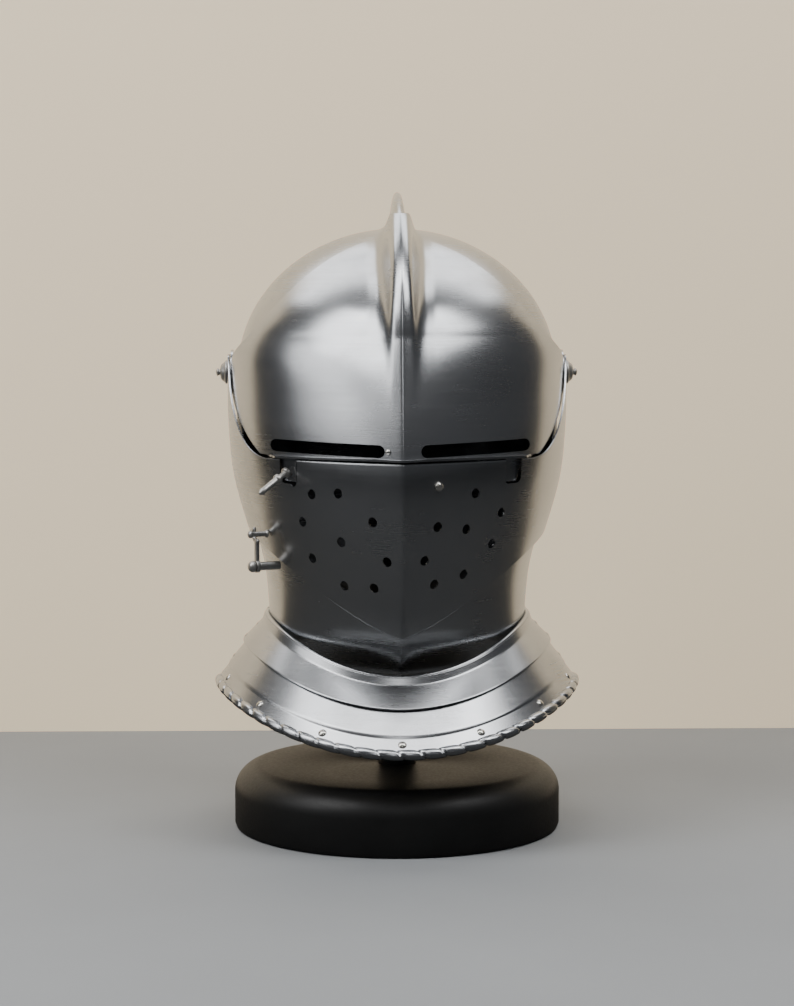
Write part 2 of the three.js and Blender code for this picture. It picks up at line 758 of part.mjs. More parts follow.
// Lifting peg: a turned baluster on the right tab of the visor
const pegProfile = [
  { up: 0, wide: 0 }, { up: 0, wide: pegFoot }, { up: 0.07, wide: pegFoot }, { up: 0.1, wide: 0.8 },
  { up: 0.27, wide: 0.8 }, { up: 0.3, wide: 1.4 }, { up: 0.36, wide: 1.4 }, { up: 0.4, wide: 1 },
  { up: 0.84, wide: 0.85 }, { up: 0.89, wide: 1.05 }, { up: 1, wide: 0.3 }, { up: 1, wide: 0 },
];

function surfaceNormal(pointAt, u, v) {
  const step = 1e-3;
  const across = pointAt(u + step, v).sub(pointAt(u - step, v));
  const down = pointAt(u, v + step).sub(pointAt(u, v - step));
  return down.cross(across).normalize();
}

function liftingPeg() {
  const profile = pegProfile.map(({ up, wide }) => new THREE.Vector2(wide * pegRadius, up * pegLength));
  const level = surfaceNormal(tabSurface(-1), 0.5, pegPlace);
  const lean = new THREE.Vector3(0, 0, -Math.tan(rad(pegTilt)));
  const foot = tabSurface(-1)(0.5, pegPlace)
    .addScaledVector(level, pegFoot * pegRadius * Math.sin(rad(pegTilt)));
  const peg = new THREE.LatheGeometry(profile, 8);
  return seated('lifting_peg', peg, foot, level.add(lean).normalize(), darkSteel);
}

// Studs
function studOn(name, radius, pointAt, x, z) {
  return seated(name, dome(radius, 0.8 * radius), pointAt(x, z), normalAt(pointAt, x, z), rivetSteel);
}

// Latch: a pin on the ventail, and below it a hook that turns on a screw on the bevor.
// Its flat frame stands on the cheek: local X runs forward along the plate, local Y up, local Z outward.
const latchAngle = -58;
const latchPinDrop = 96;

function latchFrame() {
  const point = facePoint(latchAngle, -latchPinDrop, 0);
  const ahead = facePoint(latchAngle + 2, -latchPinDrop, 0).sub(facePoint(latchAngle - 2, -latchPinDrop, 0));
  const forward = ahead.setZ(0).normalize();
  const outward = new THREE.Vector3(forward.y, -forward.x, 0);
  return new THREE.Matrix4().makeBasis(forward, new THREE.Vector3(0, 0, 1), outward).setPosition(point);
}

function inLatch(name, geometry, look) {
  const mesh = named(name, geometry, look);
  mesh.applyMatrix4(latchFrame());
  return mesh;
}

function latchPin() {
  const shank = rod(latchPinRadius, latchPinLength, 12).rotateX(rad(90));
  return inLatch('latch_pin', shank.translate(0, 0, latchPinLength / 2 + latchPinSeat), darkSteel);
}

function latchHook() {
  const inner = latchPinRadius + latchGap;
  const outer = inner + hookWidth;
  const [from, to] = [rad(122), rad(302)];
  const cradle = new THREE.Shape();
  cradle.absarc(0, 0, outer, from, to, false);
  cradle.absarc(0, 0, inner, to, from, true);
  const flat = { depth: hookThickness, bevelEnabled: false, curveSegments: 8 };
  const top = inner + hookWidth / 3;
  const bar = new THREE.BoxGeometry(hookWidth, latchHeight - top, hookThickness);
  const middle = -(latchHeight + top) / 2;
  const upright = (radius) => rod(radius, hookThickness, 14).rotateX(rad(90));
  const solid = toSolid(new THREE.ExtrudeGeometry(cradle, flat))
    .add(toSolid(placed(bar, 0, middle, hookThickness / 2)))
    .add(toSolid(placed(upright(hookEye), 0, -latchHeight, hookThickness / 2)))
    .subtract(toSolid(placed(
      upright(screwRadius + latchGap).scale(1, 1, 2), 0, -latchHeight, hookThickness / 2)));
  return inLatch('latch_hook', toGeometry(solid).translate(0, 0, hookStand), darkSteel);
}

function latchScrew() {
  const [under, over] = [hookStand - latchGap, hookStand + hookThickness + latchGap];
  const profile = [
    [0, -screwSeat], [screwStem, -screwSeat], [screwStem, under], [screwRadius, under], [screwRadius, over],
    [hookEye, over], [0.7 * hookEye, over + 0.7 * screwHead], [0, over + screwHead],
  ].map(([r, h]) => new THREE.Vector2(r, h));
  const screw = new THREE.LatheGeometry(profile, 12).rotateX(rad(90)).translate(0, -latchHeight, 0);
  return inLatch('latch_screw', screw, darkSteel);
}

// Stand: a turned disc, a post, and a plain oval head under the bowl of the skull
function standBase() {
  const profile = [new THREE.Vector2(0, 0), new THREE.Vector2(baseRadius - baseFootRound, 0)];
  profile.push(new THREE.Vector2(baseRadius, baseFootRound));
  for (let i = 0; i <= 5; i += 1) {
    const turn = rad(18 * i);
    profile.push(new THREE.Vector2(
      baseRadius - baseRound + baseRound * Math.cos(turn),
      baseHeight - baseRound + baseRound * Math.sin(turn)));
  }
  const socket = postRadius + seatGap;
  profile.push(new THREE.Vector2(socket, baseHeight), new THREE.Vector2(socket, baseHeight - socketDepth));
  profile.push(new THREE.Vector2(0, baseHeight - socketDepth));
  return named('stand_base', new THREE.LatheGeometry(profile, 32).rotateX(rad(90)), black);
}

function standPost() {
  const foot = baseHeight - socketDepth + seatGap;
  const head = skullRadius - plate - seatGap;
  const neckTop = pivotHeight + 0.75 * head;
  const post = rod(postRadius, neckTop - foot, 20).rotateX(rad(90)).translate(0, 0, (neckTop + foot) / 2);
  const under = head * Math.sin(rad(headRim)) - headThickness;
  const rim = head * Math.cos(rad(headRim)) - headThickness;
  const cap = [new THREE.Vector2(0, under), new THREE.Vector2(rim, under)];
  for (let i = 0; i < 6; i += 1) {
    const turn = rad(lerp(headRim, 90, i / 6));
    cap.push(new THREE.Vector2(head * Math.cos(turn), head * Math.sin(turn)));
  }
  cap.push(new THREE.Vector2(0, head));
  const crown = new THREE.LatheGeometry(cap, 20).rotateX(rad(90)).scale(headWide, headDeep, 1);
  const solid = toSolid(post).add(toSolid(crown.translate(0, 0, pivotHeight)));
  return named('stand_post', toGeometry(solid), black);
}

// Assembly
const helmet = new THREE.Group();
helmet.position.set(0, 0, pivotHeight);
helmet.add(skull(), visor(), ventail(), bevor());
helmet.add(...gorgetPlates('front', 0, gorgetSplit));
helmet.add(...gorgetPlates('rear', napeAngle, napeAngle - gorgetSplit - splitGap));
helmet.add(pivotBolt('pivot_bolt_left', 1), pivotBolt('pivot_bolt_right', -1));
helmet.add(liftingPeg());
helmet.add(studOn('ventail_stud', ventailStudRadius, faceAt(0), ventailStudAcross, -ventailStudDrop));
helmet.add(studOn('sight_stud', sightStudRadius, faceAt(layer), -sightStudAcross, -sightDrop));
helmet.add(latchPin(), latchHook(), latchScrew());
helmet.add(...liningRivets(), ...sideRivets());

const closeHelmet = new THREE.Group();
closeHelmet.add(helmet, standBase(), standPost());

export default closeHelmet;
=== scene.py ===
"""Looks for a close helmet on its display stand: burnished steel plates over a black turned stand."""

import json
import math

import bmesh
import bpy
import numpy as np
from mathutils import Matrix, Vector


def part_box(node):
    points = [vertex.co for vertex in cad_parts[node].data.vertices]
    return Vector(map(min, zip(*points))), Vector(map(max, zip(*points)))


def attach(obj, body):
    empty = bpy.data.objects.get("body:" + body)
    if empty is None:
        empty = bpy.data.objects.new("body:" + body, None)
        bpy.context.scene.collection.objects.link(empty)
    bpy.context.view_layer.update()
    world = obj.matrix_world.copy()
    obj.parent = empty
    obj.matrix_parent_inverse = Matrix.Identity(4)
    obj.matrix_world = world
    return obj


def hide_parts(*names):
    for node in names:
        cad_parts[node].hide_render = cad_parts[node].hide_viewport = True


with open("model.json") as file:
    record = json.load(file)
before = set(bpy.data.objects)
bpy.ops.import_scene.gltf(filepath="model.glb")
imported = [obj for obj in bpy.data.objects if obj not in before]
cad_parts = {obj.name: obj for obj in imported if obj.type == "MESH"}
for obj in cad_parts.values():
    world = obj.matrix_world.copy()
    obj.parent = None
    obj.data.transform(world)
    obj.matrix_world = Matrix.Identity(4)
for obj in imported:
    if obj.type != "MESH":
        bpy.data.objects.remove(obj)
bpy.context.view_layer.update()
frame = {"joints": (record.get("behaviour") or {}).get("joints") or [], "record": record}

bl_info = {
    "name": "Close Helmet",
    "version": (1, 0, 0),
    "blender": (4, 5, 0),
    "location": "3D View > Sidebar > Helmet",
    "description": "Plates, fittings, stand and studio for a close helmet",
    "category": "Mesh",
}

MM = 0.001
PIVOT = frame["joints"][0]["pos_m"][2]
VENTAIL_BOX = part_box("ventail")
SKULL_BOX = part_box("skull")
BASE_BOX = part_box("stand_base")


def length(name, description, metres):
    return bpy.props.FloatProperty(
        name=name, description=description, default=metres, unit="LENGTH", precision=5)


def colour(name, description, code):
    return bpy.props.StringProperty(name=name, description=description, default=code)


class HelmetSizes(bpy.types.PropertyGroup):
    """Driving sizes of the plates, in metres"""

    plate: length("Plate", "Thickness of the steel plates", 1.2 * MM)
    layer: length("Layer", "Step from one plate to the next one under it", 2 * MM)
    running: length("Running gap", "Room between plates that turn over one another", 0.4 * MM)
    edge: length("Edge", "Rounding of the plates' edges", 0.35 * MM)
    cheek: length("Cheek", "Half width over the cheeks", VENTAIL_BOX[1].x)
    prow: length("Prow", "Reach of the face plate in front of the pivots", 134 * MM)
    keel: length("Keel", "How far the prow is pinched out", 22 * MM)
    face_drop: length("Face drop", "Pivots to the face plate's point", 155 * MM)
    face_side: length("Face side drop", "Pivots to the face plate's lower edge at the cheeks", 98 * MM)
    lip_drop: length("Lip drop", "Pivots to the visor's lower lip", 48.5 * MM)
    lip_reach: length("Lip reach", "How far the visor's lip turns out", 5.5 * MM)
    arm_rise: length("Arm rise", "Height of the arms over the pivots", 11 * MM)
    skull: length("Skull", "Radius of the bowl about the pivots", 89 * MM)
    comb: length("Comb", "Radius of the comb's crest about the pivots", SKULL_BOX[1].z - PIVOT)
    crest: length("Crest", "Half thickness of the comb", 3.2 * MM)
    nape: length("Nape", "Depth of the neck behind the pivots", 76 * MM)
    neck: length("Neck", "Half width of the chin plate at the neck", 80.2 * MM)
    chin: length("Chin", "Reach of the chin in front of the pivots", 77 * MM)
    chin_drop: length("Chin drop", "Pivots to the chin's point", 178 * MM)
    tuck: length("Tuck", "How far the neck plates reach down inside the collar", 6 * MM)
    rim: length("Rim", "Half width of the flared rim", 115.2 * MM)
    rope: length("Rope", "Radius of the roped edge", 3.3 * MM)
    sight: length("Sight", "Height of the sights", 7.4 * MM)
    sight_drop: length("Sight drop", "Pivots to the sights", 42.6 * MM)
    breath: length("Breath", "Radius of the breath holes", 3 * MM)
    eye: length("Eye", "Radius of the visor's round arm ends", 14 * MM)
    base_round: length("Base round", "Rounding of the stand's upper edge", 16 * MM)
    post: length("Post", "Radius of the stand's post", 11.5 * MM)


class HelmetFinishes(bpy.types.PropertyGroup):
    """Colours, as sRGB hex codes"""

    steel: colour("Steel", "Burnished plates", "#BABCBF")
    steel_stain: colour("Steel stain", "Thin grey-brown bloom left on the plates", "#8F9092")
    turned: colour("Turned steel", "Bolts, peg and latch", "#94928E")
    rivet: colour("Rivet steel", "Rivets and studs", "#B6B3AD")
    black: colour("Black", "Painted stand", "#151515")
    floor: colour("Floor", "Table top", "#A3A6A9")
    # Painted reflection: a dark colour that glossy rays see in place of the floor, so the steel mirrors a
    # painted dark floor
    floor_reflection_shade: colour("Floor edge", "What steel mirrors of the floor around the table", "#3C3D3E")
    wall: colour("Wall", "Pale wall behind the helmet", "#F0DEC0")
    room: colour("Room", "Dim room in front of the helmet", "#4A4B4D")


def metres():
    return bpy.context.scene.helmet_sizes


def linear(code):
    """A hex sRGB code as linear red, green, blue and alpha."""
    parts = [int(code[i:i + 2], 16) / 255 for i in (1, 3, 5)]
    return (*(c / 12.92 if c <= 0.04045 else ((c + 0.055) / 1.055) ** 2.4 for c in parts), 1)


def shade(code, strength):
    """A colour made lighter or darker, with its alpha kept."""
    return (*(strength * c for c in linear(code)[:3]), 1)


# Curves through tables of shares

def eased(rows, ease):
    """Softens a table of (place, value) rows into a fine curve without corners."""
    places, values = np.array(rows, float).T
    step = (places[-1] - places[0]) / 600
    pad = max(1, int(3 * ease / step))
    fine = places[0] + step * np.arange(-pad, 601 + pad)
    raw = np.interp(fine, places, values)
    start = (values[1] - values[0]) / (places[1] - places[0])
    end = (values[-1] - values[-2]) / (places[-1] - places[-2])
    raw += np.where(fine < places[0], start * (fine - places[0]), 0)
    raw += np.where(fine > places[-1], end * (fine - places[-1]), 0)
    kernel = np.exp(-0.5 * (np.arange(-pad, pad + 1) * step / ease) ** 2)
    return fine[pad:-pad], np.convolve(raw, kernel / kernel.sum(), "valid")


def read(curve, place):
    return float(np.interp(place, *curve))


def lerp(a, b, t):
    return a + (b - a) * t


def smooth(x, low, high):
    t = min(1, max(0, (x - low) / (high - low)))
    return t * t * (3 - 2 * t)


FACE_ROWS = [
    # drop, width, reach
    (-0.15, 1, 0.885), (0, 1, 0.93), (0.16, 1, 0.97), (0.32, 0.985, 1), (0.42, 0.967, 1),
    (0.55, 0.915, 0.982), (0.665, 0.86, 0.95), (0.775, 0.822, 0.905), (0.88, 0.803, 0.85), (1, 0.792, 0.776),
]
FACE_WIDTH = eased([(d, w) for d, w, _ in FACE_ROWS], 0.045)
FACE_REACH = eased([(d, r) for d, _, r in FACE_ROWS], 0.045)

CHIN_ROWS = [
    # drop, share of the way to the neck's width, to the chin's reach
    (-0.1, 0, 0), (0.27, 0.1, 0), (0.37, 0.26, 0.02), (0.48, 0.5, 0.07), (0.58, 0.68, 0.15),
    (0.675, 0.88, 0.27), (0.765, 0.96, 0.4), (0.85, 1, 0.53), (0.905, 1, 0.64), (0.945, 1, 0.79),
    (0.975, 1, 0.91), (1, 1, 1), (1.1, 1, 1),
]
CHIN_NECK = eased([(d, n) for d, n, _ in CHIN_ROWS], 0.03)
CHIN_TIP = eased([(d, c) for d, _, c in CHIN_ROWS], 0.012)

COMB_RISE = eased([
    # half thicknesses of the crest from the middle, share of the comb's rise
    (0, 1), (0.6, 0.985), (1, 0.93), (1.15, 0.6), (1.9, 0.25), (2.9, 0.08), (4.4, 0), (9, 0),
], 0.32)

VISOR_TOP = eased([
    # degrees from the middle plane, degrees forward of upright
    (-9, 25.5), (-5, 29), (-2, 35), (0, 36), (2, 35), (5, 29), (9, 25.5), (23, 33), (39, 44.5), (52, 54),
    (65, 61), (90, 70),
], 1.2)
VISOR_ROWS = [
    # degrees forward of upright, share of the face's radius, share of the keel's rise
    (20, 0, 1), (45, 0.02, 1), (60, 0.1, 0.9), (75, 0.3, 0.66), (90, 0.6, 0.36), (105, 0.9, 0.08),
    (114, 1, 0), (140, 1, 0),
]
VISOR_WIDE = eased([(phi, wide) for phi, wide, _ in VISOR_ROWS], 5)
VISOR_KEEL = eased([(phi, keel) for phi, _, keel in VISOR_ROWS], 4)

GORGET_ROWS = [
    # step down the collar, share of the way out to the rim, share of the way down
    (-0.1, -0.02, -0.1), (0, 0, 0), (0.12, 0.05, 0.12), (0.45, 0.42, 0.42), (0.8, 0.79, 0.785), (1, 1, 1),
    (1.1, 1.1, 1.1),
]
GORGET_OUT = eased([(step, out) for step, out, _ in GORGET_ROWS], 0.012)
GORGET_DOWN = eased([(step, down) for step, _, down in GORGET_ROWS], 0.012)
GORGET_SINK = eased([
    # step down the collar, share of the rim's set-back
    (0, 0), (0.785, 0), (0.81, 1), (1.1, 1),
], 0.004)

# The gorget's upper edge and its rim, in millimetres from the pivots
FRONT_REACHES = (83, 120)
BACK_REACHES = (79, 122)
SIDE_DROPS = (151, 192.5)
FRONT_DROPS = (180.5, 221)
BACK_DROPS = (128, 205)


# Rounding of the keel's crease, as a share of the half width, and how fast the pinch dies away
KEEL_BLUNT = 0.009
KEEL_SPREAD = 2.4


def keeled(reach, keel, across):
    """Depth of a level section at a share of its half width: an oval with a keel pinched out of it."""
    side = min(1, abs(across))
    blunt = math.hypot(side, KEEL_BLUNT) - KEEL_BLUNT
    return (reach - keel) * math.sqrt(1 - side * side) + keel * max(0, 1 - blunt) ** KEEL_SPREAD


def face_section(z, inset):
    drop = -z / metres().face_drop
    return metres().cheek * read(FACE_WIDTH, drop) - inset, metres().prow * read(FACE_REACH, drop) - inset


def around(half_width, reach, turn):
    """A point of a keeled section at a turn from the front, in degrees."""
    sin, cos = math.sin(math.radians(turn)), math.cos(math.radians(turn))
    depth = reach * cos if abs(turn) > 90 else keeled(reach, metres().keel, sin)
    return half_width * sin, -depth


def face_point(turn, z, inset=0):
    return Vector((*around(*face_section(z, inset), turn), z))


def chin_point(turn, z, inset=0):
    size = metres()
    drop = -z / size.chin_drop
    neck, tip = read(CHIN_NECK, drop), read(CHIN_TIP, drop)
    half_width = lerp(size.cheek - 2 * size.layer - size.running / 2, size.neck, neck) - inset
    reach = lerp(size.prow - 2 * size.layer, size.chin, tip) - inset
    return Vector((*around(half_width, reach, turn), z))


# Meshes

# Sharper rims than this are bevelled, in degrees
RIM_CORNER = 55
# Least share of its volume that a sound cut leaves of a piece
LEAST_KEPT = 0.3
PIVOT_HOLE = 3.8 * MM


def bent_grid(point_at, columns, rows, closed=False):
    """A grid bent to a surface, with point_at(u, v) about the pivots; closed joins its two sides."""
    mesh = bmesh.new()
    bmesh.ops.create_grid(mesh, x_segments=columns, y_segments=rows, size=1)
    for vert in mesh.verts:
        vert.co = point_at((vert.co.x + 1) / 2, (1 - vert.co.y) / 2) + Vector((0, 0, PIVOT))
    if closed:
        bmesh.ops.remove_doubles(mesh, verts=mesh.verts, dist=MM / 100)
    bmesh.ops.recalc_face_normals(mesh, faces=mesh.faces)
    return mesh


def face_outwards(mesh, centre):
    """Turns an open sheet so that its faces look away from a point."""
    away = sum(face.normal.dot(face.calc_center_median() - centre) * face.calc_area() for face in mesh.faces)
    if away < 0:
        bmesh.ops.reverse_faces(mesh, faces=mesh.faces)


def plated(mesh, thickness, edge):
    """Gives an open sheet its wall, inwards, and rounds the rim that this makes."""
    face_outwards(mesh, Vector((0, 0, PIVOT - metres().lip_drop)))
    on_rim = mesh.verts.layers.int.new("rim")
    for vert in mesh.verts:
        vert[on_rim] = vert.is_boundary
    bmesh.ops.solidify(mesh, geom=mesh.faces[:], thickness=thickness)
    bmesh.ops.recalc_face_normals(mesh, faces=mesh.faces)
    corners = [e for e in mesh.edges if all(v[on_rim] for v in e.verts) and len(e.link_faces) == 2]
    corners = [e for e in corners if e.calc_face_angle() > math.radians(RIM_CORNER)]
    bmesh.ops.bevel(
        mesh, geom=corners, offset=edge, offset_type="OFFSET", affect="EDGES", segments=2, profile=0.5,
        material=-1, clamp_overlap=True)
    return mesh


def gathered(*meshes):
    """Puts several closed meshes into the first one."""
    first = meshes[0]
    for mesh in meshes[1:]:
        data = bpy.data.meshes.new("part")
        mesh.to_mesh(data)
        mesh.free()
        first.from_mesh(data)
        bpy.data.meshes.remove(data)
    return first


def thing(name, mesh):
    data = bpy.data.meshes.new(name)
    mesh.to_mesh(data)
    mesh.free()
    obj = bpy.data.objects.new(name, data)
    bpy.context.scene.collection.objects.link(obj)
    return obj


def volume_of(data):
    mesh = bmesh.new()
    mesh.from_mesh(data)
    volume = mesh.calc_volume()
    mesh.free()
    return volume


def shaped(obj, cutters=(), joined=()):
    """Cuts and joins other solids with an object and removes them; an error where most of it is lost."""
    for operation, tools in (("UNION", joined), ("DIFFERENCE", cutters)):
        for tool in tools:
            step = obj.modifiers.new(operation, "BOOLEAN")
            step.operation, step.object, step.solver = operation, tool, "EXACT"
    graph = bpy.context.evaluated_depsgraph_get()
    fresh = bpy.data.meshes.new_from_object(obj.evaluated_get(graph))
    if volume_of(fresh) < LEAST_KEPT * volume_of(obj.data):
        raise RuntimeError(f"The cuts lost most of {obj.name}")
    obj.modifiers.clear()
    obj.data = fresh
    for tool in (*cutters, *joined):
        bpy.data.objects.remove(tool)
    return obj


def dressed(obj, node_name, material, crease=38):
    """Smooths a finished piece, gives it its material, hides its node's CAD part and ties it to that node's
    body.
    """
    obj.data.polygons.foreach_set("use_smooth", [True] * len(obj.data.polygons))
    obj.data.set_sharp_from_angle(angle=math.radians(crease))
    obj.data.materials.clear()
    obj.data.materials.append(material)
    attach(obj, body_of(node_name))
    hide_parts(node_name)
    return obj


def body_of(node_name):
    bodies = frame["record"]["behaviour"]["bodies"]
    return next(body for body, members in bodies.items() if node_name in members)


def pushed(mesh, way):
    """Extrudes the only face of a mesh along a way, into a closed solid."""
    grown = bmesh.ops.extrude_face_region(mesh, geom=mesh.faces[:])["geom"]
    bmesh.ops.translate(mesh, verts=[g for g in grown if isinstance(g, bmesh.types.BMVert)], vec=way)
    bmesh.ops.recalc_face_normals(mesh, faces=mesh.faces)


def prism(name, outline):
    """A cutter along X through the whole helmet, from (y, z) points about the pivots."""
    mesh = bmesh.new()
    reach = 1.5 * metres().cheek
    mesh.faces.new([mesh.verts.new((-reach, y, z + PIVOT)) for y, z in outline])
    pushed(mesh, (2 * reach, 0, 0))
    return thing(name, mesh)


def tube(point_at, columns, rows):
    """A bar bent to a surface that closes on itself, with its two ends filled."""
    mesh = bent_grid(point_at, columns, rows, closed=True)
    bmesh.ops.holes_fill(mesh, edges=[e for e in mesh.edges if e.is_boundary], sides=0)
    bmesh.ops.recalc_face_normals(mesh, faces=mesh.faces)
    return mesh


def rod(name, radius, depth, centre, direction, segments=32):
    """A plain round cutter or shank along a direction."""
    mesh = bmesh.new()
    bmesh.ops.create_cone(
        mesh, cap_ends=True, segments=segments, radius1=radius, radius2=radius, depth=depth)
    turn = Vector((0, 0, 1)).rotation_difference(direction).to_matrix()
    bmesh.ops.rotate(mesh, verts=mesh.verts, cent=(0, 0, 0), matrix=turn)
    bmesh.ops.translate(mesh, verts=mesh.verts, vec=centre)
    return thing(name, mesh)


def pivot_holes():
    size = metres()
    return rod("pivot_holes", PIVOT_HOLE, 3 * size.cheek, Vector((0, 0, PIVOT)), Vector((1, 0, 0)))


def turned_profile(profile, segments=48):
    """A lathe turning about +Z from (radius, height) points, closed on the axis."""
    mesh = bmesh.new()
    verts = [mesh.verts.new((radius, 0, height)) for radius, height in profile]
    edges = [mesh.edges.new(pair) for pair in zip(verts, verts[1:])]
    bmesh.ops.spin(
        mesh, geom=verts + edges, cent=(0, 0, 0), axis=(0, 0, 1), angle=math.tau, steps=segments,
        use_merge=True, use_duplicate=False)
    bmesh.ops.remove_doubles(mesh, verts=mesh.verts, dist=MM / 500)
    bmesh.ops.recalc_face_normals(mesh, faces=mesh.faces)
    return mesh


def set_on(mesh, point, direction):
    """Turns a lathe turning to a direction and stands it on a point about the pivots."""
    turn = Vector((0, 0, 1)).rotation_difference(direction).to_matrix()
    bmesh.ops.rotate(mesh, verts=mesh.verts, cent=(0, 0, 0), matrix=turn)
    bmesh.ops.translate(mesh, verts=mesh.verts, vec=point + Vector((0, 0, PIVOT)))
    return mesh


def rounded(points, segments=5):
    """Points of a profile with its inner corners rounded: (radius, height, rounding)."""
    out = []
    for i, (radius, height, fillet) in enumerate(points):
        here = Vector((radius, height))
        if fillet == 0 or i in (0, len(points) - 1):
            out.append(here)
            continue
        before = Vector(points[i - 1][:2]) - here
        after = Vector(points[i + 1][:2]) - here
        start, end = here + before.normalized() * fillet, here + after.normalized() * fillet
        for k in range(segments + 1):
            t = k / segments
            out.append(start * (1 - t) ** 2 + here * 2 * t * (1 - t) + end * t ** 2)
    return [(p.x, p.y) for p in out]


# Materials

# Map Range nodes get their inputs in order: value, old low and high, new low and high.
# Colour Mix nodes get theirs by number: 0 is the share, 6 and 7 are the two colours.

def node(tree, kind, settings=None, links=None):
    """Adds a shader node with its settings and inputs, by name or in order, from sockets or values."""
    made = tree.nodes.new(kind)
    for name, value in (settings or {}).items():
        setattr(made, name, value)
    for name, value in links.items() if isinstance(links, dict) else enumerate(links or ()):
        socket = made.inputs[name]
        if isinstance(value, bpy.types.NodeSocket):
            tree.links.new(value, socket)
        else:
            socket.default_value = value
    return made


def fresh_material(name):
    material = bpy.data.materials.new(name)
    material.use_nodes = True
    tree = material.node_tree
    tree.nodes.clear()
    shader = node(tree, "ShaderNodeBsdfPrincipled")
    node(tree, "ShaderNodeOutputMaterial", links={"Surface": shader.outputs["BSDF"]})
    place = node(tree, "ShaderNodeTexCoord").outputs["Object"]
    return material, tree, shader, place


def burnished_steel():
    """Mild steel plate, planished and burnished with fine grit: soft, slightly wavy reflections."""
    if "burnished_steel" in bpy.data.materials:
        return bpy.data.materials["burnished_steel"]
    finish = bpy.context.scene.helmet_finishes
    material, tree, shader, place = fresh_material("burnished_steel")
    # Hammer waves about 45 mm across, too shallow to see except in a reflection
    waves = node(tree, "ShaderNodeTexNoise", links={"Vector": place, "Scale": 1 / 0.045, "Detail": 1.0})
    # Grit lines run level round the plates, drawn about 1.2 mm apart so that they show
    lines = node(tree, "ShaderNodeMapping", links={"Vector": place, "Scale": (24, 24, 820)})
    grit = node(tree, "ShaderNodeTexNoise", links={
        "Vector": lines.outputs["Vector"], "Scale": 1.0, "Detail": 4.0})
    bloom = node(tree, "ShaderNodeTexNoise", links={
        "Vector": place, "Scale": 1 / 0.06, "Detail": 5.0, "Roughness": 0.6})
    stain = node(tree, "ShaderNodeMapRange", links=(bloom.outputs["Fac"], 0.48, 0.78, 0.0, 0.4))
    tone = node(tree, "ShaderNodeMix", {"data_type": "RGBA"}, {
        0: stain.outputs["Result"], 6: linear(finish.steel), 7: linear(finish.steel_stain)})
    tree.links.new(tone.outputs[2], shader.inputs["Base Color"])
    shader.inputs["Metallic"].default_value = 1.0
    scratched = node(tree, "ShaderNodeMapRange", links=(grit.outputs["Fac"], 0.3, 0.7, 0.0, 0.03))
    dulled = node(tree, "ShaderNodeMapRange", links=(bloom.outputs["Fac"], 0.35, 0.75, 0.22, 0.28))
    rough = node(tree, "ShaderNodeMath", {"operation": "ADD"}, {
        0: scratched.outputs["Result"], 1: dulled.outputs["Result"]})
    tree.links.new(rough.outputs[0], shader.inputs["Roughness"])
    bump = node(tree, "ShaderNodeBump", links={
        "Height": waves.outputs["Fac"], "Strength": 0.3, "Distance": 0.5 * MM})
    tree.links.new(bump.outputs["Normal"], shader.inputs["Normal"])
    return material


def bright_steel(name, code, roughness):
    """Lathe-turned or forged steel fittings, polished by hand: brighter points, small rough specks."""
    if name in bpy.data.materials:
        return bpy.data.materials[name]
    material, tree, shader, place = fresh_material(name)
    specks = node(tree, "ShaderNodeTexNoise", links={"Vector": place, "Scale": 1 / 0.003, "Detail": 3.0})
    spotted = node(tree, "ShaderNodeMapRange", links=(specks.outputs["Fac"], 0.4, 0.8, 0.0, 0.5))
    tone = node(tree, "ShaderNodeMix", {"data_type": "RGBA"}, {
        0: spotted.outputs["Result"], 6: linear(code), 7: shade(code, 0.45)})
    tree.links.new(tone.outputs[2], shader.inputs["Base Color"])
    shader.inputs["Metallic"].default_value = 1.0
    rough = node(tree, "ShaderNodeMapRange", links=(
        specks.outputs["Fac"], 0.3, 0.7, roughness, roughness + 0.14))
    tree.links.new(rough.outputs["Result"], shader.inputs["Roughness"])
    dents = node(tree, "ShaderNodeBump", links={
        "Height": specks.outputs["Fac"], "Strength": 0.25, "Distance": 0.1 * MM})
    tree.links.new(dents.outputs["Normal"], shader.inputs["Normal"])
    return material


def black_paint():
    """Turned wood under satin black paint: broad soft highlights, a trace of roller grain."""
    if "black_paint" in bpy.data.materials:
        return bpy.data.materials["black_paint"]
    finish = bpy.context.scene.helmet_finishes
    material, tree, shader, place = fresh_material("black_paint")
    grain = node(tree, "ShaderNodeTexNoise", links={"Vector": place, "Scale": 1 / 0.0016, "Detail": 3.0})
    dust = node(tree, "ShaderNodeTexNoise", links={"Vector": place, "Scale": 1 / 0.03, "Detail": 4.0})
    dusty = node(tree, "ShaderNodeMapRange", links=(dust.outputs["Fac"], 0.4, 0.8, 0.0, 0.4))
    tone = node(tree, "ShaderNodeMix", {"data_type": "RGBA"}, {
        0: dusty.outputs["Result"], 6: linear(finish.black), 7: shade(finish.black, 2.2)})
    tree.links.new(tone.outputs[2], shader.inputs["Base Color"])
    rough = node(tree, "ShaderNodeMapRange", links=(grain.outputs["Fac"], 0.3, 0.7, 0.42, 0.52))
    tree.links.new(rough.outputs["Result"], shader.inputs["Roughness"])
    bump = node(tree, "ShaderNodeBump", links={
        "Height": grain.outputs["Fac"], "Strength": 0.15, "Distance": 0.05 * MM})
    tree.links.new(bump.outputs["Normal"], shader.inputs["Normal"])
    return material


# Skull

# Turns behind upright between which the comb sinks into the nape, in degrees
COMB_FADE = (88, 140)
SKULL_SIDE_DROP = 157 * MM
NAPE_BLEND = 6 * MM
# The brow's two corners, forward and up from the pivots
BROW = (-74 * MM, 34 * MM)
BROW_BEND = (-37 * MM, 7 * MM)
NECK_BACK = 79 * MM


def comb_strength(phi):
    return 1 - smooth(-phi, *COMB_FADE)


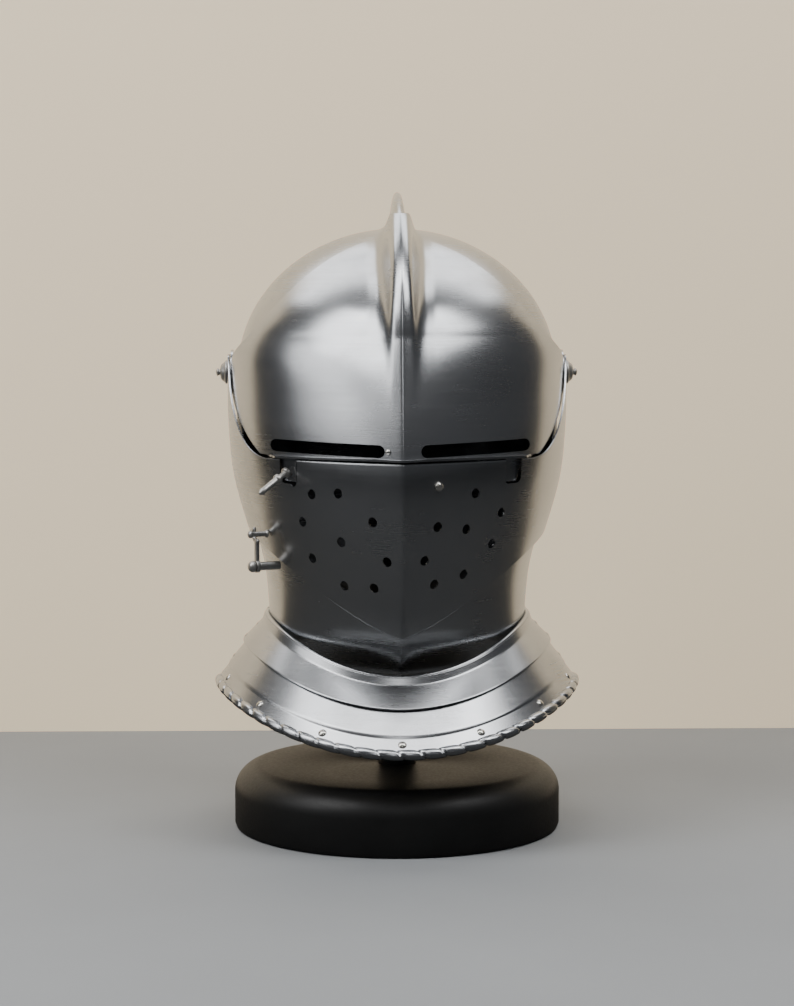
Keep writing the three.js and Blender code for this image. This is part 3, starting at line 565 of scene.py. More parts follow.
def bowl_point(alpha, phi):
    """The outside of the skull at a turn from the middle plane and a turn forward of upright, in degrees."""
    size = metres()
    a, p = math.radians(alpha), math.radians(phi)
    way = Vector((math.sin(a), -math.cos(a) * math.sin(p), math.cos(a) * math.cos(p)))
    half = size.cheek - 3 * size.layer - size.running
    upright = math.hypot(way.y, way.z)
    bowl = 1 / math.hypot(way.x / half, upright / size.skull)
    across = abs(math.tan(a)) * size.comb / size.crest
    rise = read(COMB_RISE, across)
    crown = bowl + rise * (size.comb - size.skull) * comb_strength(phi)
    if way.z >= 0:
        return way * crown
    neck = half
    for _ in range(10):
        z = max(neck * way.z, -SKULL_SIDE_DROP)
        width = chin_point(90, z, size.layer + size.running).x
        neck = min(-1.8 * SKULL_SIDE_DROP / way.z, 1 / math.hypot(way.x / width, way.y / size.nape))
    blend = NAPE_BLEND * min(1, -4 * way.z)
    meet = max(blend - abs(crown - neck), 0) / max(blend, 1e-9)
    return way * (max(crown, neck) + meet * meet * blend / 4)


def spread(share, span_deg, crowd):
    """A share from -1 to 1 as degrees, with the steps crowded at the middle."""
    return math.copysign(span_deg * (crowd * abs(share) + (1 - crowd) * abs(share) ** 2.5), share)


class HELMET_OT_skull(bpy.types.Operator):
    """Bowl, comb and nape in one plate, cut open at the face and the neck"""

    bl_idname = "helmet.skull"
    bl_label = "Skull"

    def execute(self, context):
        size = metres()
        mesh = bent_grid(
            lambda u, v: bowl_point(spread(2 * u - 1, 90, 0.3), 360 * v - 180), 150, 150, closed=True)
        bmesh.ops.remove_doubles(mesh, verts=mesh.verts, dist=MM / 20)
        bmesh.ops.dissolve_degenerate(mesh, edges=mesh.edges, dist=MM / 20)
        bmesh.ops.recalc_face_normals(mesh, faces=mesh.faces)
        bmesh.ops.solidify(mesh, geom=mesh.faces[:], thickness=size.plate)
        obj = thing("skull_plate", mesh)
        far = 2 * size.face_drop
        temple = size.eye - MM
        face = prism("face_opening", [
            BROW, BROW_BEND, (-temple, -size.arm_rise), (-2 * MM, -4 * size.arm_rise),
            (0, -far), (-far, -far), (-far, BROW[1])])
        drops = [lerp(SIDE_DROPS[0], BACK_DROPS[0], (i / 8) ** 2) for i in range(9)]
        edge = [(NECK_BACK * i / 8, -drop * MM - size.tuck) for i, drop in enumerate(drops)]
        neck = prism("neck_opening", [
            (-far, -SKULL_SIDE_DROP), *edge, (far, edge[-1][1]), (far, -far), (-far, -far)])
        shaped(obj, cutters=[face, neck, pivot_holes()])
        dressed(obj, "skull", burnished_steel())
        return {"FINISHED"}


# Visor

# Share of the visor's grid above the fold of its lip
VISOR_BEND = 11 / 12
# Rounding of the ridge over the comb, as a share of its half width, and the ridge's height
RIDGE_BLUNT = 0.12
RIDGE_RISE = 3 * MM
# How far tabs and arm ends lie under the visor's surface, so that no two faces coincide
UNDER = 0.07 * MM
VISOR_LOW_RADIUS = 131 * MM
# Turns forward of upright between which the crown's shape gives way to the face's, in degrees
FACE_BLEND = (38, 106)
# Distances from the middle between which the lip fades out towards the arms
LIP_FADE = (71 * MM, 77.5 * MM)
# Distance from the pivots within which the arms are flat
ARM_FLAT = 34 * MM


def visor_section(x, z, extra=0):
    size = metres()
    inset = size.layer + size.running / 2 + extra
    half_width, reach = face_section(z, inset)
    return half_width, keeled(reach, size.keel, min(1, abs(x) / half_width))


def visor_point(alpha, v, lip):
    size = metres()
    side = abs(alpha)
    cos = math.cos(math.radians(side))
    lowest = math.degrees(math.acos(max(-1, (size.plate - size.lip_drop) / (VISOR_LOW_RADIUS * cos))))
    lowest = min(128, lowest)
    phi = lerp(read(VISOR_TOP, side), lowest, v)
    radius = size.skull + size.layer
    wide = lerp(radius, VISOR_LOW_RADIUS, read(VISOR_WIDE, phi))
    crest = size.skull * math.tan(math.radians(side))
    rise = read(COMB_RISE, (crest - size.layer - 0.8 * MM) / size.crest)
    away = math.hypot(crest / (size.crest + size.layer), RIDGE_BLUNT)
    ridge = max(0, 1 + RIDGE_BLUNT - away) * RIDGE_RISE
    keel_rise = size.comb + size.layer + MM - radius
    r = wide * cos + (rise * keel_rise + ridge) * read(VISOR_KEEL, phi)
    half = size.cheek - size.layer - size.running / 2
    face_share = smooth(phi, *FACE_BLEND)
    flat = 0.5 * half * (r / wide) ** 2 * math.exp(-((r / ARM_FLAT) ** 4)) * (1 - face_share)
    x = min(half, half * math.sin(math.radians(side)) + flat)
    z = r * math.cos(math.radians(phi))
    half_width, low = visor_section(x, z)
    depth = lerp(r * math.sin(math.radians(phi)), low, face_share)
    out = lip * size.lip_reach * (1 - smooth(x, *LIP_FADE))
    share = min(1, x / half_width)
    return Vector((
        math.copysign(x + out * share, alpha), -depth - out * math.sqrt(1 - share * share), z))


def visor_surface(u, v):
    alpha = spread(2 * u - 1, 85, 0.42)
    alpha = math.copysign(max(abs(alpha), 1e-4), alpha)
    bend = 0 if v <= VISOR_BEND else (v - VISOR_BEND) / (1 - VISOR_BEND)
    return visor_point(alpha, min(1, v / VISOR_BEND), bend)


SIGHT_INNER = 10.5 * MM
SIGHT_OUTER = 77.5 * MM
SIGHT_LIFT = 1.3 * MM


def sight_cutter(side):
    """A long slot with round ends, rising a little towards the temple."""
    size = metres()
    radius, inner, outer, rise = size.sight / 2, SIGHT_INNER, SIGHT_OUTER, SIGHT_LIFT
    mesh = bmesh.new()
    bmesh.ops.create_circle(mesh, cap_ends=True, segments=40, radius=radius)
    for vert in mesh.verts:
        x, z = vert.co.x, vert.co.y
        far_end = x > 0
        along = (outer - radius + x) if far_end else (inner + radius + x)
        lift = rise * smooth(along, inner, outer)
        vert.co = Vector((side * along, -1.4 * size.prow, z + lift - size.sight_drop + PIVOT))
    pushed(mesh, (0, 1.2 * size.prow, 0))
    return thing("sight", mesh)


TAB_ACROSS = 67.5 * MM
TAB_WIDTH = 11 * MM
TAB_LENGTH = 14 * MM
NOTCH_GAP = 1.1 * MM
NOTCH_LEAN = 4.2 * MM


def tab_surface(side):
    """The tabs' outer sides lean in towards their lower ends."""
    size = metres()

    def point_at(u, v):
        outward = u if side > 0 else 1 - u
        x = TAB_ACROSS + (outward - 0.5) * TAB_WIDTH - outward * v * NOTCH_LEAN
        z = lerp(-size.lip_drop + size.plate, -size.lip_drop - TAB_LENGTH, v)
        return Vector((side * x, -visor_section(x, z, UNDER)[1], z))

    return point_at


def notch_cutter(side):
    """The room for a tab in the ventail, with a gap outside and below it and a round lower corner."""
    size = metres()
    inner = TAB_ACROSS - TAB_WIDTH / 2 - 0.35 * MM
    outer = TAB_ACROSS + TAB_WIDTH / 2 + 2.2 * NOTCH_GAP
    foot = -size.lip_drop - TAB_LENGTH - NOTCH_GAP
    mesh = bmesh.new()
    bmesh.ops.create_grid(mesh, x_segments=1, y_segments=1, size=1)
    for vert in mesh.verts:
        low, out = vert.co.y < 0, vert.co.x > 0
        across = (outer - (NOTCH_LEAN if low else 0)) if out else inner
        vert.co = Vector((side * across, -1.6 * size.prow, PIVOT + (foot if low else -foot * 0.4)))
    pushed(mesh, (0, 1.4 * size.prow, 0))
    lows = [e for e in mesh.edges if abs(e.verts[0].co.y - e.verts[1].co.y) > MM
            and e.verts[0].co.z < PIVOT + foot + MM]
    for edge in lows:
        out = abs(edge.verts[0].co.x) > TAB_ACROSS - NOTCH_LEAN
        bmesh.ops.bevel(
            mesh, geom=[edge], offset=(3.4 if out else 1.2) * MM, offset_type="OFFSET", affect="EDGES",
            segments=6, profile=0.5, material=-1)
    return thing("notch", mesh)


class HELMET_OT_visor(bpy.types.Operator):
    """Keeled visor with two sights, a turned-out lip and two tabs"""

    bl_idname = "helmet.visor"
    bl_label = "Visor"

    def execute(self, context):
        size = metres()
        obj = thing("visor_plate", plated(bent_grid(visor_surface, 190, 108), size.plate, size.edge))
        half = size.cheek - size.layer - size.running / 2
        thick = 1.2 * size.plate
        joined = []
        for side in (-1, 1):
            joined.append(rod(
                "arm_end", size.eye, thick, Vector((side * (half - thick / 2 - UNDER), 0, PIVOT)),
                Vector((1, 0, 0)), 64))
            joined.append(thing("tab", plated(bent_grid(tab_surface(side), 12, 16), size.plate, size.edge)))
        shaped(obj, cutters=[sight_cutter(-1), sight_cutter(1), pivot_holes()], joined=joined)
        dressed(obj, "visor", burnished_steel())
        return {"FINISHED"}


# Ventail

BREATH_RINGS = [
    # middle across and up and ring radius in millimetres, holes across and up as shares of the radius
    (-35.6, -96.5, 27, [
        (-0.64, 1.02), (-0.07, 1.07), (0.67, 0.48), (0.98, -0.38), (0.71, -0.99), (0.07, -0.99),
        (-0.63, -0.42), (-0.84, 0.39), (-1.05, 1.27), (0, 0)]),
    (37.6, -89, 27, [
        (0.2, 0.78), (0.8, 0.31), (0.59, -0.38), (-0.04, -1.02), (-0.7, -1.19), (-0.92, -0.64), (-0.64, 0.09),
        (0, 0)]),
]


# Where the ventail's arms leave its upper edge, and over how many degrees they rise
ARM_START = 50
ARM_SWEEP = 36
V_SHARPNESS = 1.35


def ventail_top(turn):
    size = metres()
    seam = size.lip_drop + 0.8 * MM
    return -seam + (seam + size.arm_rise) * min(1, max(0, (abs(turn) - ARM_START) / ARM_SWEEP)) ** 2


def ventail_bottom(turn):
    size = metres()
    side = abs(math.sin(math.radians(turn)))
    return -size.face_drop + (size.face_drop - size.face_side) * side ** V_SHARPNESS


def ventail_surface(u, v):
    turn = spread(2 * u - 1, lerp(96, 91, v), 0.3)
    return face_point(turn, lerp(ventail_top(turn), ventail_bottom(turn), v))


class HELMET_OT_ventail(bpy.types.Operator):
    """Pointed face plate with its breath holes and the two notches for the visor's tabs"""

    bl_idname = "helmet.ventail"
    bl_label = "Ventail"

    def execute(self, context):
        size = metres()
        obj = thing("ventail_plate", plated(bent_grid(ventail_surface, 180, 70), size.plate, size.edge))
        cutters = [pivot_holes(), notch_cutter(-1), notch_cutter(1)]
        face = on_face(0)
        for x, z, ring, holes in BREATH_RINGS:
            for across, up in holes:
                place = (x + across * ring) * MM, (z + up * ring) * MM
                centre = face(*place) + Vector((0, 0, PIVOT))
                way = plate_normal(face, *place)
                cutters.append(rod("breath", size.breath, 10 * size.plate, centre, way, 28))
        shaped(obj, cutters=cutters)
        dressed(obj, "ventail", burnished_steel())
        return {"FINISHED"}


# Bevor

BEVOR_LAP = 12 * MM
# Turns from the front between which the bevor's arms rise, in degrees
BEVOR_ARM = (62, 84)


def bevor_surface(u, v):
    size = metres()
    turn = spread(2 * u - 1, lerp(96, 95, v), 0.35)
    top = lerp(ventail_bottom(turn) + BEVOR_LAP, size.arm_rise - 3 * MM, smooth(abs(turn), *BEVOR_ARM))
    bottom = -lerp(SIDE_DROPS[0], FRONT_DROPS[0], math.cos(math.radians(turn)) ** 2) * MM - size.tuck
    return chin_point(turn, lerp(top, bottom, v))


class HELMET_OT_bevor(bpy.types.Operator):
    """Chin plate under the ventail, down into the collar"""

    bl_idname = "helmet.bevor"
    bl_label = "Bevor"

    def execute(self, context):
        size = metres()
        obj = thing("bevor_plate", plated(bent_grid(bevor_surface, 160, 80), size.plate, size.edge))
        shaped(obj, cutters=[pivot_holes()])
        dressed(obj, "bevor", burnished_steel())
        return {"FINISHED"}


# Gorget

# Steps down the collar: where the upper lame ends, and how far the lower one reaches under it
LAME_BREAK = 0.45
LAME_LAP = 0.09
LAME_INSET = 3 * MM
# Turn from the front at which front and rear plates part, in degrees
SPLIT = 96
RIM_SINK = 0.9 * MM
# Cuts round the whole rim, their slant in half turns of the bead, their width and depth
ROPE_CUTS = 56
ROPE_SLANT = 0.55
ROPE_CUT_WIDTH = 0.07
ROPE_CUT_DEPTH = 0.9 * MM
ROLL_RADIUS = 1.5 * MM
ROLL_INSET = 0.6 * MM


def gorget_point(turn, step, inset=0):
    size = metres()
    out, down = read(GORGET_OUT, step), read(GORGET_DOWN, step)
    sin, cos = math.sin(math.radians(turn)), math.cos(math.radians(turn))
    inset += read(GORGET_SINK, step) * RIM_SINK
    half_width = lerp(size.neck + size.layer, size.rim, out) - inset
    reaches, drops = (FRONT_REACHES, FRONT_DROPS) if cos > 0 else (BACK_REACHES, BACK_DROPS)
    reach = lerp(*reaches, out) * MM
    side = lerp(*SIDE_DROPS, down) * MM
    end = lerp(*drops, down) * MM
    return Vector((half_width * sin, -(reach - inset) * cos, -lerp(side, end, cos ** 2)))


def gorget_frame(turn, step, inset=0):
    """A gorget point with its directions along the rim and out of the plate."""
    point = gorget_point(turn, step, inset)
    tangent = (gorget_point(turn + 0.5, step, inset) - gorget_point(turn - 0.5, step, inset)).normalized()
    down = gorget_point(turn, step + 0.02, inset) - gorget_point(turn, step - 0.02, inset)
    return point, tangent, down.cross(tangent).normalized()


def rope_groove(turn, roll):
    """Depth of the slanting cuts of the roped edge, from 0 to 1."""
    twist = (turn * ROPE_CUTS / 360 + ROPE_SLANT * roll / math.pi) % 1.0
    near = min(twist, 1 - twist)
    return math.exp(-((near / ROPE_CUT_WIDTH) ** 2)) + 0.28 * (1 - math.cos(math.tau * (twist + 0.5))) / 2


def rope_bead(middle, spread_deg):
    """The roped edge of a lame, as a solid bead with slanting cuts."""
    size = metres()

    def point_at(u, v):
        turn = middle + lerp(-spread_deg, spread_deg, u)
        roll = math.tau * v
        centre, tangent, _ = gorget_frame(turn, 1, LAME_INSET)
        outward = Vector((tangent.y, -tangent.x, 0)).normalized()
        if outward.dot(Vector((centre.x, centre.y, 0))) < 0:
            outward.negate()
        upward = tangent.cross(outward)
        if upward.z < 0:
            upward.negate()
        end = min(1, 14 * min(u, 1 - u) + 0.35)
        radius = (size.rope - ROPE_CUT_DEPTH * rope_groove(turn, roll)) * end
        return centre + outward * radius * math.cos(roll) + upward * radius * math.sin(roll)

    return tube(point_at, int(spread_deg * 5), 18)


def edge_roll(middle, spread_deg):
    """A thin turned bead along the collar's upper edge."""

    def point_at(u, v):
        roll = math.tau * v
        turn = middle + lerp(-spread_deg, spread_deg, u)
        centre, tangent, normal = gorget_frame(turn, 0, ROLL_INSET)
        upward = tangent.cross(normal)
        return centre + normal * ROLL_RADIUS * math.cos(roll) + upward * ROLL_RADIUS * math.sin(roll)

    return tube(point_at, int(spread_deg * 1.2), 12)


def lame(middle, spread_deg, start, end, inset):
    size = metres()
    mesh = bent_grid(
        lambda u, v: gorget_point(middle + (2 * u - 1) * spread_deg, lerp(start, end, v), inset), 130, 40)
    return plated(mesh, size.plate, size.edge)


class HELMET_OT_gorget(bpy.types.Operator):
    """Collar lames, front and back: an upper band and a flared lower one with its roped edge"""

    bl_idname = "helmet.gorget"
    bl_label = "Gorget"

    def execute(self, context):
        for prefix, middle, spread_deg in (("front", 0, SPLIT), ("rear", 180, 180 - SPLIT - 1)):
            upper = thing(f"{prefix}_collar_band", gathered(
                lame(middle, spread_deg, 0, LAME_BREAK, 0), edge_roll(middle, spread_deg)))
            dressed(upper, f"{prefix}_lame_upper", burnished_steel())
            flare = lame(middle, spread_deg, LAME_BREAK - LAME_LAP, 1, LAME_INSET)
            lower = thing(f"{prefix}_flared_band", gathered(flare, rope_bead(middle, spread_deg)))
            dressed(lower, f"{prefix}_lame_lower", burnished_steel())
        return {"FINISHED"}


# Rivets and studs

def dome_profile(radius, height, steps=8):
    """A round head with a thin straight foot."""
    foot = 0.18 * height
    turns = [math.pi / 2 * k / steps for k in range(steps)]
    cap = [(radius * math.cos(turn), foot + (height - foot) * math.sin(turn)) for turn in turns]
    return [(0, 0), (radius, 0), *cap, (0, height)]


def headed(name, node_name, radius, height, point, normal):
    mesh = set_on(turned_profile(dome_profile(radius, height), 28), point + normal * 0.1 * MM, normal)
    finish = bpy.context.scene.helmet_finishes
    material = bright_steel("rivet_steel", finish.rivet, 0.2)
    return dressed(thing(name, mesh), node_name, material, 50)


def plate_normal(point_at, x, z, step=0.5 * MM):
    across = point_at(x + step, z) - point_at(x - step, z)
    down = point_at(x, z - step) - point_at(x, z + step)
    return down.cross(across).normalized()


def on_face(inset):
    def point_at(x, z):
        half_width, reach = face_section(z, inset)
        return Vector((x, -keeled(reach, metres().keel, x / half_width), z))
    return point_at


# Radius and height of each kind of head
RIM_RIVET = (2.8 * MM, 2.1 * MM)
SIDE_RIVET = (2.2 * MM, 1.7 * MM)
FACE_STUD = (2.8 * MM, 2.3 * MM)
BROW_STUD = (1.6 * MM, 1.3 * MM)

RIM_RIVETS = 14
RIM_RIVET_STEP = 0.89
# Step down the collar and inset of the three rivets on each side
SIDE_RIVET_PLACES = [(0.2, 0), (0.4, 0), (0.7, LAME_INSET)]
FACE_STUD_AT = (20.6 * MM, -62.8 * MM)
BROW_STUD_ACROSS = 8.7 * MM


class HELMET_OT_rivets(bpy.types.Operator):
    """Lining rivets round the rim, side rivets of the collar and the two studs of the face"""

    bl_idname = "helmet.rivets"
    bl_label = "Rivets"

    def execute(self, context):
        for i in range(RIM_RIVETS):
            point, _, normal = gorget_frame(i * 360 / RIM_RIVETS, RIM_RIVET_STEP, LAME_INSET)
            headed(f"rim_rivet_{i + 1}", f"lining_rivet_{i + 1}", *RIM_RIVET, point, normal)
        for side, word in ((-1, "right"), (1, "left")):
            for i, (step, inset) in enumerate(SIDE_RIVET_PLACES, 1):
                point, _, normal = gorget_frame(side * (SPLIT - 5), step, inset)
                headed(f"collar_rivet_{word}_{i}", f"side_rivet_{word}_{i}", *SIDE_RIVET, point, normal)
        stud, sight = on_face(0), on_face(metres().layer)
        place = FACE_STUD_AT
        headed("face_stud", "ventail_stud", *FACE_STUD, stud(*place), plate_normal(stud, *place))
        place = (-BROW_STUD_ACROSS, -metres().sight_drop)
        headed("brow_stud", "sight_stud", *BROW_STUD, sight(*place), plate_normal(sight, *place))
        return {"FINISHED"}


# Bolts, peg and latch

def turned_steel():
    return bright_steel("turned_steel", bpy.context.scene.helmet_finishes.turned, 0.22)


NUT_SHARE = 0.8
NUT_HEIGHT = 4 * MM
SHANK_RADIUS = 3 * MM
BOLT_SEAT = 0.3 * MM
BOLT_HEAD_ROWS = [
    # share of the half width, share of the head's height, rounding in millimetres
    (0.98, 0, 0), (0.98, 0.14, 0.4), (0.86, 0.2, 0.4), (0.62, 0.55, 1.2), (0.26, 0.62, 0.5), (0.24, 0.7, 0.3),
    (0.36, 0.84, 0.7), (0.12, 0.99, 0.6), (0, 0.99, 0),
]


class HELMET_OT_bolts(bpy.types.Operator):
    """Pivot bolts with domed heads and finials, and the nuts inside"""

    bl_idname = "helmet.bolts"
    bl_label = "Pivot bolts"

    def execute(self, context):
        for side, word in ((1, "left"), (-1, "right")):
            node_name = f"pivot_bolt_{word}"
            low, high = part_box(node_name)
            tip = max(abs(low.x), abs(high.x))
            inside = min(abs(low.x), abs(high.x))
            seat = metres().cheek + BOLT_SEAT
            head = tip - seat
            wide = (high.z - low.z) / 2
            shank = [
                (0, inside, 0), (NUT_SHARE * wide, inside, 0), (NUT_SHARE * wide, inside + NUT_HEIGHT, 0),
                (SHANK_RADIUS, inside + NUT_HEIGHT, 0), (SHANK_RADIUS, seat, 0)]
            finial = [(share * wide, seat + up * head, soft * MM) for share, up, soft in BOLT_HEAD_ROWS]
            mesh = turned_profile(rounded(shank + finial), 40)
            obj = thing(f"pivot_{word}", set_on(mesh, Vector((0, 0, 0)), Vector((side, 0, 0))))
            dressed(obj, node_name, turned_steel(), 35)
        return {"FINISHED"}


PEG_RADIUS = 2.1 * MM
PEG_LENGTH = 25 * MM
PEG_TILT = 26
PEG_PLACE = 0.6
PEG_ROWS = [
    # share of the height, share of the radius, rounding in millimetres
    (0, 0, 0), (0, 1.5, 0), (0.07, 1.5, 0.5), (0.1, 0.8, 0.4), (0.27, 0.8, 0.4), (0.29, 1.4, 0.3),
    (0.37, 1.4, 0.3), (0.4, 1, 0.3), (0.84, 0.85, 0.3), (0.89, 1.05, 0.4), (0.96, 0.6, 0.5),
    (0.995, 0.3, 0.2), (0.995, 0, 0),
]


class HELMET_OT_peg(bpy.types.Operator):
    """Turned lifting peg on the visor's right tab"""

    bl_idname = "helmet.peg"
    bl_label = "Lifting peg"

    def execute(self, context):
        radius, tall, tilt, place = PEG_RADIUS, PEG_LENGTH, math.radians(PEG_TILT), PEG_PLACE
        point_at = tab_surface(-1)
        step = 1e-3
        across = point_at(0.5 + step, place) - point_at(0.5 - step, place)
        down = point_at(0.5, place + step) - point_at(0.5, place - step)
        level = down.cross(across).normalized()
        foot = point_at(0.5, place) + level * 1.5 * radius * math.sin(tilt)
        way = (level + Vector((0, 0, -math.tan(tilt)))).normalized()
        profile = rounded([(wide * radius, up * tall, soft * MM) for up, wide, soft in PEG_ROWS])
        obj = thing("visor_peg", set_on(turned_profile(profile, 32), foot + way * 0.3 * MM, way))
        dressed(obj, "lifting_peg", turned_steel(), 40)
        return {"FINISHED"}


# Where the latch's pin stands on the ventail: degrees from the front, and below the pivots
LATCH_TURN = -58
LATCH_DROP = 96 * MM
# The hook: pin to screw, root to underside, thickness, width, and the turns that its mouth spans in degrees
HOOK_LENGTH = 19.5 * MM
HOOK_STAND = 6.8 * MM
HOOK_THICK = 2.4 * MM
HOOK_WIDE = 3 * MM
HOOK_MOUTH = (122, 302)
HOOK_EYE = 3.8 * MM
HOOK_SOFT = 0.5 * MM
LATCH_GAP = 0.5 * MM
PIN_RADIUS = 2.3 * MM
PIN_ROWS = [
    # share of the radius, height and rounding in millimetres
    (0, 1, 0), (1, 1, 0), (1, 1.8, 0.3), (0.7, 2.3, 0.3), (0.7, 11, 0.3), (1, 11.8, 0.4), (1, 13, 0.7),
    (0.4, 13.9, 0.4), (0, 13.9, 0),
]
SCREW_FOOT = -7 * MM
SCREW_BODY = 2.6 * MM
SCREW_STEM = 1.6 * MM
SCREW_HEAD_ROWS = [
    # radius, height over the hook and rounding in millimetres
    (3.4, 0, 0.5), (3.7, 1.7, 1.3), (2.2, 3.8, 1.1), (0, 3.95, 0),
]


def latch_matrix():
    """The latch's flat frame: X forward along the cheek, Y up, Z outward, from the pin's root."""
    z = -LATCH_DROP
    point = face_point(LATCH_TURN, z)
    ahead = face_point(LATCH_TURN + 2, z) - face_point(LATCH_TURN - 2, z)
    forward = Vector((ahead.x, ahead.y, 0)).normalized()
    outward = Vector((forward.y, -forward.x, 0))
    place = Matrix((forward, (0, 0, 1), outward)).transposed().to_4x4()
    place.translation = point + Vector((0, 0, PIVOT))
    return place


class HELMET_OT_latch(bpy.types.Operator):
    """Pin on the ventail, swivelling hook and its screw on the bevor"""

    bl_idname = "helmet.latch"
    bl_label = "Latch"

    def execute(self, context):
        place = latch_matrix()
        high, stand, thick, wide = HOOK_LENGTH, HOOK_STAND, HOOK_THICK, HOOK_WIDE
        pin = turned_profile(rounded([
            (share * PIN_RADIUS, up * MM, soft * MM) for share, up, soft in PIN_ROWS]), 28)
        bmesh.ops.transform(pin, matrix=place, verts=pin.verts)
        dressed(thing("catch_pin", pin), "latch_pin", turned_steel())

        inner = PIN_RADIUS + LATCH_GAP
        middle = inner + wide / 2
        start, end = (math.radians(turn) for turn in HOOK_MOUTH)

        def cradle(u, v):
            turn, roll = lerp(start, end, u), math.tau * v
            flare = math.sin(math.pi * min(1, 8 * min(u, 1 - u) + 0.25) / 2)
            out = middle + wide / 2 * flare * math.cos(roll)
            rise = thick / 2 + thick / 2 * flare * math.sin(roll)
            return Vector((out * math.cos(turn), out * math.sin(turn), rise))

        ring = tube(lambda u, v: cradle(u, v) - Vector((0, 0, PIVOT)), 40, 14)
        bar = bmesh.new()
        bmesh.ops.create_cube(bar, size=1)
        bmesh.ops.scale(bar, verts=bar.verts, vec=(wide, high - inner - MM, thick))
        bmesh.ops.translate(bar, verts=bar.verts, vec=(0, -(high + inner + MM) / 2, thick / 2))
        bmesh.ops.bevel(
            bar, geom=bar.edges[:], offset=HOOK_SOFT, offset_type="OFFSET", affect="EDGES", segments=3,
            profile=0.5, material=-1)
        eye = turned_profile(rounded([
            (0, 0, 0), (HOOK_EYE, 0, HOOK_SOFT), (HOOK_EYE, thick, HOOK_SOFT), (0, thick, 0)]), 36)
        bmesh.ops.translate(eye, verts=eye.verts, vec=(0, -high, 0))
        lift = place @ Matrix.Translation((0, 0, stand))
        parts = []
        for name, mesh in (("ring", ring), ("bar", bar), ("eye", eye)):
            bmesh.ops.transform(mesh, matrix=lift, verts=mesh.verts)
            parts.append(thing(name, mesh))
        normal = place.to_3x3() @ Vector((0, 0, 1))
        centre = lift @ Vector((0, -high, thick / 2))
        hole = rod("hole", SCREW_STEM + LATCH_GAP, 3 * thick, centre, normal)
        hook = parts[0]
        hook.name = "catch_hook"
        shaped(hook, cutters=[hole], joined=parts[1:])
        dressed(hook, "latch_hook", turned_steel())

        under, over = stand - LATCH_GAP, stand + thick + LATCH_GAP
        head = [(radius * MM, over + up * MM, soft * MM) for radius, up, soft in SCREW_HEAD_ROWS]
        screw = turned_profile(rounded([
            (0, SCREW_FOOT, 0), (SCREW_BODY, SCREW_FOOT, 0), (SCREW_BODY, under, 0.4 * MM),
            (SCREW_STEM, under, 0), (SCREW_STEM, over, 0), *head]), 36)
        bmesh.ops.transform(screw, matrix=place @ Matrix.Translation((0, -high, 0)), verts=screw.verts)
        dressed(thing("catch_screw", screw), "latch_screw", turned_steel())
        return {"FINISHED"}


# Stand

POST_GAP = 0.3 * MM
SOCKET_DEPTH = 12 * MM
# The hidden head: where its round starts in degrees, its thickness, and how far it is narrowed
HEAD_START = 42
HEAD_THICK = 4 * MM
HEAD_OVAL = (0.8, 0.7)


def arc(radius, start, stop, step):
    """Points of a round between two turns in degrees, the last one left out."""
    turns = [math.radians(turn) for turn in range(start, stop, step)]
    return [(radius * math.cos(turn), radius * math.sin(turn)) for turn in turns]


class HELMET_OT_stand(bpy.types.Operator):
    """Turned disc and post with the plain oval head that carries the skull"""

    bl_idname = "helmet.stand"
    bl_label = "Stand"

    def execute(self, context):
        size = metres()
        radius, top = BASE_BOX[1].x, BASE_BOX[1].z
        curve = size.base_round
        shoulder = [(radius - curve + x, top - curve + y) for x, y in arc(curve, 0, 91, 5)]
        socket, depth = size.post + POST_GAP, SOCKET_DEPTH
        mesh = turned_profile([
            (0, 0), (radius - 3 * MM, 0), (radius - 1 * MM, 0.6 * MM), (radius, 3 * MM), *shoulder,
            (socket + 0.6 * MM, top), (socket, top - 0.6 * MM), (socket, top - depth), (0, top - depth)], 160)
        dressed(thing("disc_foot", mesh), "stand_base", black_paint(), 50)

        head = size.skull - size.plate - POST_GAP
        dome = arc(head, HEAD_START, 90, 3)
        under = dome[0][1] - HEAD_THICK
        crown = turned_profile([(0, under), (dome[0][0] - HEAD_THICK, under), *dome, (0, head)], 64)
        bmesh.ops.scale(crown, verts=crown.verts, vec=(*HEAD_OVAL, 1))
        bmesh.ops.translate(crown, verts=crown.verts, vec=(0, 0, PIVOT))
        foot = top - depth + POST_GAP
        neck_top = PIVOT + 0.75 * head
        post = thing("stand_stem", turned_profile([
            (0, foot), (size.post, foot), (size.post, neck_top), (0, neck_top)], 64))
        shaped(post, joined=[thing("crown", crown)])
        dressed(post, "stand_post", black_paint(), 40)
        return {"FINISHED"}


# Studio

CAMERA_DISTANCE = 1.5
CAMERA_HEIGHT = 0.327
CAMERA_TURN = math.radians(-1.6)
CAMERA_PITCH = math.radians(4.7)
FOCAL_PIXELS = 2395
PHOTO_HEIGHT = 1006
SENSOR = 36
FLOOR_HALF = 12
WALL_BEHIND = 0.334
WALL_HALF = 0.8
WALL_TALL = 0.86
WALL_GLOW = 0.42
LIGHT_TARGET = Vector((0, -0.07, 0.33))

SOFTBOXES = [
    # name, degrees to the right of the front, degrees up, distance, width, height, brightness
    ("left_softbox", -60, 40, 1.3, 0.62, 0.95, 4.6),
    ("left_low_softbox", -72, 13, 1.35, 0.6, 0.4, 2.4),
    ("right_softbox", 60, 46, 1.3, 0.5, 0.85, 4.2),
    ("front_overhead_softbox", 0, 67, 1.35, 1.5, 0.45, 4.4),
    ("rear_overhead_softbox", 180, 63, 1.35, 2.3, 0.5, 3.4),
    ("front_softbox", 0, 28, 1.6, 0.25, 0.7, 2.6),
]


def plane(half_width, half_depth):
    mesh = bmesh.new()
    bmesh.ops.create_grid(mesh, x_segments=1, y_segments=1, size=1)
    bmesh.ops.scale(mesh, verts=mesh.verts, vec=(half_width, half_depth, 1))
    return mesh


